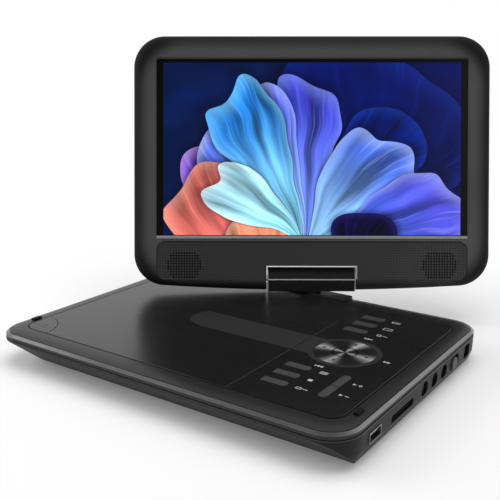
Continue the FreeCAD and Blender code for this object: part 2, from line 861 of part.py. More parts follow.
def make_control_panel():
    body = new_body("control_panel")
    left = size.panel_seam + size.panel_split / 2
    corner = size.deck_corner
    sketch = new_sketch(body, level=deck_under)
    add_outline(sketch, [
        (left, deck_front), (deck_x - corner, deck_front), (deck_x, deck_front + corner, corner),
        (deck_x, deck_rear - corner), (deck_x - corner, deck_rear, corner), (left, deck_rear)])
    pad(body, sketch, size.deck_plate)
    dressed(body, "Chamfer", at_level(deck_top), size.deck_edge)
    sketch = new_sketch(body, level=deck_top)
    for _, y, depth in key_places():
        key_outline(sketch, y, depth, size.key_gap)
    add_circle(sketch, size.dial_x, size.dial_y, size.pad_radius + size.key_gap)
    pocket(body, sketch, size.deck_plate + 1)
    for up in (1, -1):
        sketch = new_sketch(body, level=deck_top)
        volume_outline(sketch, up, size.key_gap)
        pocket(body, sketch, size.deck_plate + 1)
    sketch = new_sketch(body, level=deck_top)
    dial_outline(sketch, left - 1, 0.0)
    pocket(body, sketch, size.inlay_depth)


def make_dial_inlay():
    body = new_body("dial_inlay")
    sketch = new_sketch(body, level=deck_top - size.inlay_depth)
    dial_outline(sketch, size.panel_seam + size.panel_split / 2, 0.05)
    pad(body, sketch, size.inlay_depth + size.inlay_proud)
    sketch = new_sketch(body, level=deck_top + 1)
    add_circle(sketch, size.dial_x, size.dial_y, size.pad_radius + size.key_gap)
    pocket(body, sketch, size.inlay_depth + 2)


def make_key(label, outline):
    """A cap with a lip under the panel, which stops it from rising."""
    body = new_body(label)
    sketch = new_sketch(body, level=lip_low)
    outline(sketch, 0.0)
    pad(body, sketch, cap_top - lip_low)
    sketch = new_sketch(body, level=lip_low)
    outline(sketch, size.key_lip)
    pad(body, sketch, size.key_lip_height)


def make_keys():
    for name, y, depth in key_places():
        make_key(name, lambda sketch, grow, y=y, depth=depth: key_outline(sketch, y, depth, grow))
    for name, up in (("volume_up_key", 1), ("volume_down_key", -1)):
        body = new_body(name)
        sketch = new_sketch(body, level=lip_low)
        volume_outline(sketch, up)
        pad(body, sketch, cap_top - lip_low)
        sketch = new_sketch(body, level=lip_low)
        near = size.volume_middle + (size.volume_split / 2) * up
        far = near + size.volume_length * up
        half = size.volume_width / 2 + size.key_lip
        add_box(sketch, *((size.volume_column - half, near, size.volume_column + half, far) if up > 0
                          else (size.volume_column - half, far, size.volume_column + half, near)))
        pad(body, sketch, size.key_lip_height)


def make_dial():
    body = new_body("nav_pad")
    sketch = new_sketch(body, level=lip_low)
    add_circle(sketch, size.dial_x, size.dial_y, size.pad_radius + size.key_lip)
    pad(body, sketch, size.key_lip_height)
    sketch = new_sketch(body, level=lip_low)
    add_circle(sketch, size.dial_x, size.dial_y, size.pad_radius)
    pad(body, sketch, cap_top - lip_low)
    dressed(body, "Fillet", at_level(cap_top), 0.2)
    sketch = new_sketch(body, level=cap_top)
    add_circle(sketch, size.dial_x, size.dial_y, size.centre_key + size.key_gap)
    pocket(body, sketch, 8)
    sketch = new_sketch(body, level=lip_low)
    add_circle(sketch, size.dial_x, size.dial_y, size.centre_key + size.key_gap + size.key_lip)
    pocket(body, sketch, 1.4, reverse=True)
    body = new_body("nav_centre_key")
    sketch = new_sketch(body, level=lip_low)
    add_circle(sketch, size.dial_x, size.dial_y, size.centre_key)
    pad(body, sketch, cap_top - lip_low)
    sketch = new_sketch(body, level=lip_low)
    add_circle(sketch, size.dial_x, size.dial_y, size.centre_key + size.key_lip)
    pad(body, sketch, size.key_lip_height)


def make_open_button():
    body = new_body("open_button")
    radius = size.open_radius
    corner = size.deck_corner
    sketch = new_sketch(body, level=deck_under)
    add_outline(sketch, [
        (-deck_x + corner, deck_front, corner), (-deck_x + radius, deck_front),
        (-deck_x, deck_front + radius, radius * 1.05), (-deck_x, deck_front + corner)])
    pad(body, sketch, size.deck_plate)
    dressed(body, "Chamfer", at_level(deck_top), size.deck_edge)


def make_key_board():
    """Circuit board under the panel, with a dome switch under each key."""
    top = floor_under
    plate = block("key_board plate", (size.key_board_left - 2, -size.key_board_reach - 2, top - 1.2),
                  (size.key_board_right + 2, size.key_board_reach + 2, top))
    height = lip_low - size.key_travel - 0.05 - top
    middle = size.volume_length / 2 + size.volume_split / 2
    spots = [(size.key_column, y) for _, y, _ in key_places()]
    spots += [(size.volume_column, size.volume_middle + middle * up) for up in (1, -1)]
    spread = DOME_SPREAD
    spots += [(size.dial_x + x, size.dial_y + y)
              for x, y in ((0, 0), (spread, 0), (-spread, 0), (0, spread), (0, -spread))]
    domes = [cylinder("dome %d" % n, (x, y, top), DOME_RADIUS, height) for n, (x, y) in enumerate(spots)]
    piece(fused("key_board", [plate] + domes), "key_board")


def make_small_deck_parts():
    pins = []
    for number, x in enumerate(LUGS):
        left, right = door_reach(x)
        start = left - size.ear_width + PIN_INSET
        length = size.lug_width + PIN_INSET + 2 * (size.ear_width - PIN_INSET)
        pins.append(cylinder("hinge pin %d" % number, (start, door_axis_y, door_axis_z), size.door_pin,
                             length, X_AXIS))
    piece(group("door_hinge_pins", pins), "door_hinge_pins")

    bumpers = []
    half_x, half_y = BUMPER
    for number, side in enumerate((-1, 1)):
        x, y = size.bumper_x * side, size.bumper_y
        bumpers.append(block("bumper %d" % number, (x - half_x, y - half_y, bumper_low),
                             (x + half_x, y + half_y, deck_top + 0.9)))
    piece(group("screen_bumpers", bumpers), "screen_bumpers")

    spots = [(x, y) for x in (size.feet_left, size.feet_right) for y in (-size.feet_depth, size.feet_depth)]
    feet = [cylinder("foot %d" % number, (x, y, 0), size.feet_radius, size.feet_height)
            for number, (x, y) in enumerate(spots)]
    piece(group("rubber_feet", feet), "rubber_feet")

    head_low = size.feet_height + 1.0
    screws = []
    for number, (x, y) in enumerate(SCREWS):
        radius, thick = SCREW_HEAD
        head = cylinder("case screw head %d" % number, (x, y, head_low), radius, thick)
        shank = cylinder("case screw shank %d" % number, (x, y, head_low + thick), SCREW_SHANK, 10.0)
        screws.append(fused("case screw %d" % number, [head, shank]))
    piece(group("base_screws", screws), "base_screws")
    screws = []
    for number, (x, y) in enumerate(BOARD_SCREWS):
        radius, length = BOARD_SCREW
        head = cylinder("board screw head %d" % number, (x, y, board_top), *BOARD_SCREW_HEAD)
        shank = cylinder("board screw shank %d" % number, (x, y, board_top - length), radius, length)
        screws.append(fused("board screw %d" % number, [head, shank]))
    piece(group("board_screws", screws), "board_screws")


# electronics

def make_main_board():
    left, level = size.board_left, size.board_level
    front, rear = -74, 76
    plate = block("main board plate", (left, front, level), (size.board_right, rear, board_top))
    # the corners are cut away round two case screws
    notches = [block("main board notch %d" % n, (left - 1, y - 7, level - 1), (70, y + 7, board_top + 1))
               for n, y in enumerate((front + 1, rear - 3))]
    holes = [cylinder("board hole %d" % n, (x, y, level - 1), BOARD_SCREW[0], size.board_thick + 2)
             for n, (x, y) in enumerate(BOARD_SCREWS)]
    chip = block("main processor", (78, -14, board_top), (98, 6, board_top + 1.6))
    memory = block("memory chip", (78, 14, board_top), (88, 30, board_top + 1.2))
    solid = fused("main board solid", [plate, chip, memory])
    piece(cut("main_board", solid, notches + holes), "main_board")


def make_slots():
    wall, side = size.usb_wall, size.tongue_side
    low, high = size.usb_y - size.usb_width / 2, size.usb_y + size.usb_width / 2
    top = board_top + size.usb_height
    back = size.board_right - 13
    shell = block("usb shell", (back, low, board_top), (half_width + 0.3, high, top))
    mouth = block("usb mouth", (back + 2, low + wall, board_top + wall),
                  (half_width + 1, high - wall, top - wall))
    tongue = block("usb tongue", (back + 1.5, low + side, board_top + size.tongue_low),
                   (half_width - 1.2, high - side, board_top + size.tongue_low + size.tongue_thick))
    piece(fused("usb_port", [cut("usb frame", shell, [mouth]), tongue]), "usb_port")

    wall, side = size.card_wall, size.card_side
    low, high = size.card_y - size.card_width / 2, size.card_y + size.card_width / 2
    top = board_top + size.card_height
    back = size.board_right - 28
    shell = block("card shell", (back, low, board_top), (half_width - size.jack_recess, high, top))
    mouth = block("card mouth", (back + 2, low + side, board_top + wall),
                  (half_width + 1, high - side, top - wall))
    piece(cut("card_slot", shell, [mouth]), "card_slot")


def make_jacks():
    case_face = half_width - size.case_setback
    half, height = size.jack_case_half, size.jack_height
    jacks = []
    for number in range(3):
        y = size.jack_first + size.jack_pitch * number
        case = block("jack case %d" % number, (size.board_right - 10, y - half, board_top),
                     (case_face, y + half, board_top + size.jack_case_height))
        nozzle = cylinder("jack nozzle %d" % number, (half_width - 4, y, height), 3.0,
                          4 - size.jack_recess, X_AXIS)
        bore = cylinder("jack bore %d" % number, (half_width - 14, y, height), size.jack_bore, 15, X_AXIS)
        jacks.append(cut("jack %d" % number, fused("jack solid %d" % number, [case, nozzle]), [bore]))
    piece(group("av_jacks", jacks), "av_jacks")

    y = size.power_y
    case = block("power case", (size.board_right - 11, y - half, board_top),
                 (case_face, y + half, board_top + size.power_case_height))
    bore = cylinder("power bore", (half_width - 11, y, height), size.power_bore, 12, X_AXIS)
    pin = cylinder("power pin", (half_width - 11.5, y, height), 1.0, 9.0, X_AXIS)
    piece(fused("dc_jack", [cut("power barrel", case, [bore]), pin]), "dc_jack")


def make_power_switch():
    y, height, half = size.switch_y, size.jack_height, size.switch_case_half
    case = block("switch body", (size.board_right - 5, y - half, board_top),
                 (half_width - size.case_setback, y + half, board_top + size.jack_case_height))
    guide = block("switch guide", (half_width - 4.5, y - 6.6, height - 1.3),
                  (half_width - 1, y + 6.6, height + 1.3))
    piece(cut("switch_case", case, [guide]), "switch_case")

    # a round knob with a tab that runs in the guide
    body = new_body("power_switch")
    middle = y - size.knob_start
    sketch = new_sketch(body, "YZ_Plane", half_width - 2.2)
    add_circle(sketch, middle, height, size.knob_radius)
    pad(body, sketch, size.knob_length)
    sketch = new_sketch(body, "YZ_Plane", half_width - 4.2)
    add_box(sketch, middle - 2, height - 1.1, middle + 2, height + 1.1)
    pad(body, sketch, 2.4)


def make_battery():
    body = new_body("battery_pack")
    sketch = new_sketch(body, level=floor_inside)
    add_rounded(sketch, -100, -48, -64, 48, 3)
    pad(body, sketch, 7)


# disc loader

def loader_ends():
    """Where the chassis starts and stops, from the front to the rear."""
    y = size.deck_shift
    return y - size.lens_reach - size.lens_travel - 12, y + 20


def make_loader_chassis():
    x, y = size.well_x, size.deck_shift
    low, top, half = chassis_low, size.chassis_top, size.chassis_half
    front, rear = loader_ends()
    plate = block("chassis plate", (x - half, front, low), (x + half, rear, top))
    rests = [block("rod rest %d" % n, (x - 14, place, size.rod_height - 2.4), (x + 20, place + 2.5, low))
             for n, place in enumerate((front, y - 13.2))]
    gap = block("carriage gap", (x - 13.6, front + 2.5, low - 1), (x + 19, y - 13.2, top + 1))
    shaft = cylinder("shaft hole", (x, y, low - 1), 2.2, 4)
    corners = [(x + 18.5 * i, rear - 5 if j > 0 else front + 5) for i in (-1, 1) for j in (-1, 1)]
    holes = [cylinder("damper hole %d" % n, (a, b, low - 1), size.damper_radius, 4)
             for n, (a, b) in enumerate(corners)]

    start = front + 0.4
    length = (y - 10.9) - start
    sides = (x - size.rod_spread, x + size.rod_spread)
    bores = [cylinder("rod seat %d" % n, (a, start, size.rod_height), size.rod_radius, length, Y_AXIS)
             for n, a in enumerate(sides)]
    screw_bore = cylinder("screw seat", (x + size.screw_x, start, size.rod_height),
                          size.shaft_radius + size.running_gap, length + 1, Y_AXIS)
    sled_seat = cylinder("sled seat", (x + size.screw_x, y - 10.6, size.rod_height), size.sled_radius,
                         size.sled_length, Y_AXIS)
    solid = fused("chassis solid", [plate] + rests)
    tools = [gap, shaft, screw_bore, sled_seat] + holes + bores
    piece(cut("loader_chassis", solid, tools), "loader_chassis")

    rods = [cylinder("guide rod %d" % n, (a, start, size.rod_height), size.rod_radius, length, Y_AXIS)
            for n, a in enumerate(sides)]
    piece(group("guide_rods", rods), "guide_rods")
    dampers = []
    for number, (a, b) in enumerate(corners):
        ring = cylinder("damper %d" % number, (a, b, low - 0.6), size.damper_radius, well_under - low + 0.6)
        peg = cylinder("damper peg %d" % number, (a, b, low - 0.6), 1.4, 1.4)
        dampers.append(cut("damper ring %d" % number, ring, [peg]))
    piece(group("loader_dampers", dampers), "loader_dampers")


def make_turntable():
    x, y, low = size.well_x, size.deck_shift, chassis_low
    radius = size.shaft_radius
    motor = cylinder("motor can", (x, y, low - size.motor_height), size.motor_radius, size.motor_height)
    bore = cylinder("motor bore", (x, y, low - 4), radius + size.running_gap, 6)
    piece(cut("spindle_motor", motor, [bore]), "spindle_motor")

    table = size.well_floor + 0.7
    shaft = cylinder("spindle shaft", (x, y, low - 3.6), radius, table + 0.1 - low + 3.6)
    disc = cylinder("turntable disc", (x, y, table), size.turntable_radius, size.turntable_thick)
    hub = primitive("Cone", "turntable hub", (x, y, table + size.turntable_thick), Radius1=size.hub_foot,
                    Radius2=size.hub_tip, Height=size.hub_height)
    piece(fused("turntable", [shaft, disc, hub]), "turntable")


def make_pickup():
    x, y, height = size.well_x, size.deck_shift, size.rod_height
    front, _ = loader_ends()
    middle, half, depth = y - size.lens_reach, size.carriage_half, size.carriage_depth
    base = block("carriage", (x - half, middle - depth, height - 1.9),
                 (x + half, middle + depth, size.chassis_top))
    arm = block("drive arm", (x + half, middle - 3, height - 1.6), (x + half + 2.6, middle + 3, height + 1.6))
    lens = cylinder("lens", (x, middle, size.chassis_top), size.lens_radius, 1.0)
    bores = [cylinder("carriage bore %d" % n, (a, middle - depth - 1, height),
                      size.rod_radius + size.running_gap, 2 * depth + 2, Y_AXIS)
             for n, a in enumerate((x - size.rod_spread, x + size.rod_spread))]
    piece(cut("pickup_head", fused("carriage solid", [base, arm, lens]), bores), "pickup_head")

    start = front + 0.6
    radius = size.shaft_radius
    length = (y - 10.9) - (front + 0.4) + 3
    piece(cylinder("lead_screw", (x + size.screw_x, start, height), radius, length, Y_AXIS), "lead_screw")
    sled_y = y - 10.6
    motor = cylinder("sled can", (x + size.screw_x, sled_y, height), size.sled_radius, size.sled_length,
                     Y_AXIS)
    bore = cylinder("sled bore", (x + size.screw_x, sled_y - 1, height), radius + size.running_gap, 8, Y_AXIS)
    piece(cut("sled_motor", motor, [bore]), "sled_motor")


# hinge

def place_on_axis(thing, leaning):
    """Set a piece that was drawn about the tilt axis in its place, turned and leaning."""
    turn = "create(<<rotation>>; create(<<vector>>; 0; 0; 1); Sizes.turn_angle)"
    if leaning:
        turn += " * create(<<rotation>>; create(<<vector>>; 1; 0; 0); -Sizes.lean_angle)"
    middle = "create(<<vector>>; 0; Sizes.swivel_y; %s)" % axis_z.text
    thing.setExpression("Placement", "create(<<placement>>; %s; %s)" % (middle, turn))


def make_pedestal():
    body = new_body("hinge_pedestal")
    low = upper_low + 0.1
    side = size.pedestal_half
    sketch = new_sketch(body, level=low)
    add_rounded(sketch, -side, size.pedestal_front, side, half_depth - 0.1, 1.5)
    pad(body, sketch, pedestal_top - low)
    dressed(body, "Fillet", at_level(pedestal_top), 0.6)
    sketch = new_sketch(body, level=pedestal_top)
    add_circle(sketch, 0, size.swivel_y, size.post_radius + size.running_gap)
    pocket(body, sketch, pedestal_top - low + 1)


def make_swivel():
    cover_low = axis_z - size.cover_radius
    foot = cylinder("foot disc", (0, size.swivel_y, pedestal_top + 0.06), size.foot_radius,
                    cover_low - pedestal_top - 0.06)
    post = cylinder("foot post", (0, size.swivel_y, upper_low - 1.9), size.post_radius,
                    pedestal_top - upper_low + 2.4)
    piece(fused("swivel_foot", [foot, post]), "swivel_foot")
    ring = cylinder("retainer", (0, size.swivel_y, upper_low - 1.8), size.post_radius + 1.4, 1.7)
    hole = cylinder("retainer hole", (0, size.swivel_y, upper_low - 2.8), size.post_radius, 4)
    piece(cut("swivel_retainer", ring, [hole]), "swivel_retainer")


def cover_outline(sketch, inset=0.0, low=None):
    """Flat front, back and foot under a half-round top."""
    radius = size.cover_radius - inset
    half = size.cover_half_depth - inset
    rise = Measure(math.sqrt(radius.value ** 2 - half.value ** 2),
                   "sqrt(%s ^ 2 - %s ^ 2)" % (radius.text, half.text))
    bottom = -size.cover_radius if low is None else low
    add_outline(sketch, [(-half, bottom), (half, bottom), (half, rise), (half * 0, radius, radius),
                         (-half, rise, radius)])


def make_hinge():
    body = new_body("hinge_cover")
    sketch = new_sketch(body, "YZ_Plane")
    cover_outline(sketch)
    pad(body, sketch, size.cover_half * 2, both=True)
    sketch = new_sketch(body, "YZ_Plane")
    cover_outline(sketch, size.cover_wall, -size.cover_radius - 1)
    pocket(body, sketch, size.cover_half * 2 - size.cover_wall * 2, both=True)
    sketch = new_sketch(body, "YZ_Plane")
    add_circle(sketch, 0, 0, size.tilt_shaft + size.running_gap)
    pocket(body, sketch, size.cover_half * 2 + 4, both=True)
    place_on_axis(body, False)

    half, proud = size.cover_half_depth, 0.12
    bore = size.tilt_shaft + size.running_gap
    plates = []
    for number, side in enumerate((-1, 1)):
        inner = size.cover_half * side
        outer = (size.cover_half + size.end_trim) * side
        low, high = (outer, inner) if side < 0 else (inner, outer)
        disc = cylinder("end disc %d" % number, (low, 0, 0), size.cover_radius, size.end_trim, X_AXIS)
        apron = block("end apron %d" % number, (low, -half - proud, -size.cover_radius), (high, half, 1.8))
        hole = cylinder("end hole %d" % number, (low - 1, 0, 0), bore, 3, X_AXIS)
        plates.append(cut("end plate %d" % number, fused("end %d" % number, [disc, apron]), [hole]))
    strip = block("front strip", (-size.cover_half, -half - proud, 0.5), (size.cover_half, -half, 1.4))
    trim = piece(fused("hinge_trim", plates + [strip]), "hinge_trim")
    place_on_axis(trim, False)

    base_low = -size.cover_radius
    plate = block("bracket base", (-29.5, -5.6, base_low), (29.5, 5.6, base_low + 1.5))
    ears = [block("bracket ear %d" % n, (x, -4.5, base_low + 1.5), (x + 1.6, 4.5, 4.6))
            for n, x in enumerate((-28.6, 27.0))]
    bores = cylinder("bracket bores", (-40, 0, 0), size.tilt_shaft, 80, X_AXIS)
    bracket = piece(cut("hinge_bracket", fused("bracket solid", [plate] + ears), [bores]), "hinge_bracket")
    place_on_axis(bracket, False)

    shafts = [cylinder("tilt shaft %d" % n, (x, 0, 0), size.tilt_shaft, 14.6, X_AXIS)
              for n, x in enumerate((-39.8, 25.2))]
    shafts = piece(group("tilt_shafts", shafts), "tilt_shafts")
    place_on_axis(shafts, False)


# screen: drawn upright about the tilt axis, its front towards -Y

def screen_sketch(body, level, inset=0.0):
    sketch = new_sketch(body, "XZ_Plane", level)
    half = size.screen_width / 2 - inset
    add_rounded(sketch, -half, -size.screen_bottom + inset, half, size.screen_top - inset,
                size.screen_corner - inset, size.screen_bow - inset)
    return sketch


def at_depth(y):
    depth = value_of(y)
    return lambda box: abs(box.YMin - depth) < 1e-4 and abs(box.YMax - depth) < 1e-4


def screw_spots():
    """Where the screws of the screen's case stand: across and up from the tilt axis."""
    across = size.screen_width / 2 - SCREEN_SCREW_INSET
    return [(across * side, z) for side in (-1, 1) for z in SCREEN_SCREW_LEVELS]


def screw_circles(sketch, radius):
    for x, z in screw_spots():
        add_circle(sketch, x, z, radius)


def screen_shell(label, offset, rounding, front):
    """Half of the screen's case, from its middle plane to its face or its back."""
    body = new_body(label)
    side = 1 if front else -1
    pad(body, screen_sketch(body, 0), offset, reverse=not front)
    dressed(body, "Fillet", at_depth(offset * -side), rounding)
    wall = size.screen_wall
    pocket(body, screen_sketch(body, 0, wall), 4, reverse=front)
    pocket(body, screen_sketch(body, 0, wall + 3), offset - size.screen_skin, reverse=front)
    # walls round the hinge notch
    rim = size.notch_half + 2.2
    for low, depth in ((-6.0, offset - 1.5), (-7.2, 5)):
        sketch = new_sketch(body, "XZ_Plane")
        add_box(sketch, -rim, low, rim, size.notch_top + 2)
        pad(body, sketch, depth, reverse=not front)
    # posts for the case screws
    sketch = new_sketch(body, "XZ_Plane")
    screw_circles(sketch, 3.2)
    pad(body, sketch, offset - 1.4, reverse=not front)
    sketch = new_sketch(body, "XZ_Plane", offset * side + side)
    add_box(sketch, -size.notch_half, -size.screen_bottom - 1, size.notch_half, size.notch_top)
    pocket(body, sketch, offset + 2, reverse=not front)
    sketch = new_sketch(body, "YZ_Plane")
    add_circle(sketch, 0, 0, size.tilt_shaft + 0.1)
    pocket(body, sketch, size.notch_half * 2 + 24, both=True)
    return body


def make_screen_bezel():
    face = size.face_offset
    body = screen_shell("screen_bezel", face, size.face_round, True)
    sketch = new_sketch(body, "XZ_Plane", face + 1)
    add_rounded(sketch, -size.window_half, size.window_low, size.window_half, size.window_high, 2)
    pocket(body, sketch, face + 1)
    dressed(body, "Chamfer", window_edges(), size.window_bevel)
    sketch = new_sketch(body, "XZ_Plane", face + 1)
    add_rounded(sketch, -size.window_half, size.strip_low, size.window_half, size.strip_high,
                size.strip_corner)
    pocket(body, sketch, 1 + size.strip_sink + size.strip_thick)
    sketch = new_sketch(body, "XZ_Plane", face + 1)
    for side in (-1, 1):
        add_circle(sketch, size.speaker_x * side, size.speaker_z, size.speaker_radius - 1)
    pocket(body, sketch, face)
    sketch = new_sketch(body, "XZ_Plane")
    screw_circles(sketch, 1.0)
    pocket(body, sketch, 6.5, reverse=True)
    place_on_axis(body, True)


def window_edges():
    """The front edge of the window in the bezel."""
    level = -SIZES["face_offset"]
    half = SIZES["window_half"] + 0.1
    low, high = SIZES["window_low"] - 0.1, SIZES["window_high"] + 0.1

    def test(box):
        flat = abs(box.YMin - level) < 1e-4 and abs(box.YMax - level) < 1e-4
        return flat and box.XMin > -half and box.XMax < half and box.ZMin > low and box.ZMax < high

    return test


def make_screen_back():
    back = size.back_offset
    body = screen_shell("screen_back_cover", back, size.back_round, False)
    sketch = new_sketch(body, "XZ_Plane", -back - 1)
    screw_circles(sketch, 2.6)
    pocket(body, sketch, 4.0, reverse=True)
    sketch = new_sketch(body, "XZ_Plane", -back - 1)
    screw_circles(sketch, 1.2)
    pocket(body, sketch, back + 1, reverse=True)
    place_on_axis(body, True)


def make_screen_insides():
    face = size.face_offset
    glass = face - size.glass_sink
    lip = size.glass_lip
    body = new_body("lcd_panel")
    sketch = new_sketch(body, "XZ_Plane", glass)
    add_rounded(sketch, -size.window_half - lip, size.window_low - lip, size.window_half + lip,
                size.window_high + lip, 1)
    pad(body, sketch, size.glass_thick, reverse=True)
    place_on_axis(body, True)

    body = new_body("speaker_strip")
    sketch = new_sketch(body, "XZ_Plane", face - size.strip_sink)
    fit = 0.1
    add_rounded(sketch, -size.window_half + fit, size.strip_low + fit, size.window_half - fit,
                size.strip_high - fit, size.strip_corner - fit)
    pad(body, sketch, size.strip_thick, reverse=True)
    sketch = new_sketch(body, "XZ_Plane", face + 1)
    add_box(sketch, -size.notch_half - fit, -30, size.notch_half + fit, size.notch_top + fit)
    pocket(body, sketch, 6)
    place_on_axis(body, True)

    drivers = []
    cone_front = size.strip_sink + size.strip_thick + 0.1 - face
    for number, side in enumerate((-1, 1)):
        x, z = size.speaker_x * side, size.speaker_z
        frame = cylinder("driver frame %d" % number, (x, cone_front, z), size.speaker_radius - 1.2, 3, Y_AXIS)
        magnet = cylinder("driver magnet %d" % number, (x, cone_front + 3, z), 6, 3.4, Y_AXIS)
        hollow = primitive("Cone", "driver cone %d" % number, (x, cone_front - 0.01, z), Y_AXIS,
                           Radius1=8.6, Radius2=3.0, Height=2.4)
        solid = fused("driver solid %d" % number, [frame, magnet])
        drivers.append(cut("driver %d" % number, solid, [hollow]))
    drivers = piece(group("speakers", drivers), "speakers")
    place_on_axis(drivers, True)

    glass_back = size.glass_thick - glass
    board_back = glass_back + 1.2
    board = block("driver board plate", (-62, glass_back, 58), (62, board_back, 96))
    chips = [block("driver chip %d" % n, (x, board_back, 70), (x + 14, board_back + 1.2, 84))
             for n, x in enumerate((-40, 4, 34))]
    board = piece(fused("lcd_driver_board", [board] + chips), "lcd_driver_board")
    place_on_axis(board, True)

    trim = size.notch_trim
    half, top = size.notch_half, size.notch_top
    front, back = -face + 0.2, -(size.tilt_shaft + TRIM_CLEARANCE)
    bars = [block("notch top", (-half, front, top - trim), (half, back, top)),
            block("notch left", (-half, front, -0.6), (-half + trim, back, top)),
            block("notch right", (half - trim, front, -0.6), (half, back, top))]
    lining = piece(fused("notch_trim", bars), "notch_trim")
    place_on_axis(lining, True)

    leaves = []
    bore = size.tilt_shaft + size.running_gap
    for number, x in enumerate((-size.notch_half - 4.0, size.notch_half + 2.4)):
        web = block("leaf %d" % number, (x, -3.6, -3.8), (x + 1.6, 3.6, 24))
        left, right = (x - 9, x + 1.6) if number == 0 else (x, x + 10.6)
        foot = block("leaf foot %d" % number, (left, 2.4, 11.6), (right, 3.6, 24))
        hole = cylinder("leaf hole %d" % number, (x - 1, 0, 0), bore, 4, X_AXIS)
        leaves.append(cut("hinge leaf %d" % number, fused("leaf solid %d" % number, [web, foot]), [hole]))
    leaves = piece(group("hinge_leaves", leaves), "hinge_leaves")
    place_on_axis(leaves, True)

    screws = []
    head_seat = size.back_offset - 3
    for number, (x, z) in enumerate(screw_spots()):
        shank = cylinder("screen screw shank %d" % number, (x, -5.5, z), 1.0, head_seat + 5.5, Y_AXIS)
        head = cylinder("screen screw head %d" % number, (x, head_seat, z), 2.4, 1.4, Y_AXIS)
        screws.append(fused("screen screw %d" % number, [shank, head]))
    screws = piece(group("screen_screws", screws), "screen_screws")
    place_on_axis(screws, True)


# build and export

for make in (make_lower_housing, make_upper_housing, make_trim_band, make_disc_door, make_door_stripe,
             make_control_panel, make_dial_inlay, make_keys, make_dial, make_open_button, make_key_board,
             make_small_deck_parts, make_main_board, make_slots, make_jacks, make_power_switch, make_battery,
             make_loader_chassis, make_turntable, make_pickup, make_pedestal, make_swivel, make_hinge,
             make_screen_bezel, make_screen_back, make_screen_insides):
    make()
doc.recompute()

for thing in doc.Objects:
    if {"Invalid", "Error"} & set(thing.State):
        raise RuntimeError("%s failed: %s" % (thing.Label, thing.State))
for thing in pieces:
    if thing.Shape.isNull() or not thing.Shape.isValid() or not thing.Shape.Solids:
        raise RuntimeError(thing.Label + " has no valid solid")

os.makedirs("parts", exist_ok=True)
for thing in pieces:
    thing.Shape.exportStep("parts/%s.step" % thing.Label)
print("%d pieces, %d solids" % (len(pieces), sum(len(p.Shape.Solids) for p in pieces)))
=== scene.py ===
import math

import bmesh
import bpy
from mathutils import Euler, Matrix, Vector


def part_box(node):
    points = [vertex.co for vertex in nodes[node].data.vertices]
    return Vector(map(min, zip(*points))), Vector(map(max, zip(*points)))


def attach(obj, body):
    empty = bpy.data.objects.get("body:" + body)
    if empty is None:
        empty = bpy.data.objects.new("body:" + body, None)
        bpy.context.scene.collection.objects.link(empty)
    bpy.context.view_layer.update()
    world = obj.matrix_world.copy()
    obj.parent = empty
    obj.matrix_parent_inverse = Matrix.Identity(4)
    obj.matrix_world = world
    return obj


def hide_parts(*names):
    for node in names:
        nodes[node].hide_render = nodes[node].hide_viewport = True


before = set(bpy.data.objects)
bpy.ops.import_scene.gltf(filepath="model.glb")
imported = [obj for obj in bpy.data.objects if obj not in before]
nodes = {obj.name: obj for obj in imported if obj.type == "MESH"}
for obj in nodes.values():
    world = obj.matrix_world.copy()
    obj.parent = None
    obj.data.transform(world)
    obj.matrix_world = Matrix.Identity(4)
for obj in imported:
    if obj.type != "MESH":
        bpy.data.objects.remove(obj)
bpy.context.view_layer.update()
mm = 0.001

# where the screen hinges, and how it is turned and leant at rest
hinge = {"axisY": 91.5, "axisZ": 33.7, "turn": 34.5, "lean": 13.6}
axisPoint = Vector((0, hinge["axisY"], hinge["axisZ"])) * mm
screenTurn = Euler((-math.radians(hinge["lean"]), 0, math.radians(hinge["turn"])))
screenPlace = Matrix.Translation(axisPoint) @ screenTurn.to_matrix().to_4x4()
deck = {"height": 23.0, "dialX": 79.3, "dialY": -2.3}


# small helpers for nodes

def newSocket(tree, name, kind, out=False, value=None):
    way = "OUTPUT" if out else "INPUT"
    socket = tree.interface.new_socket(name=name, in_out=way, socket_type="NodeSocket" + kind)
    if value is not None:
        socket.default_value = value
    return socket


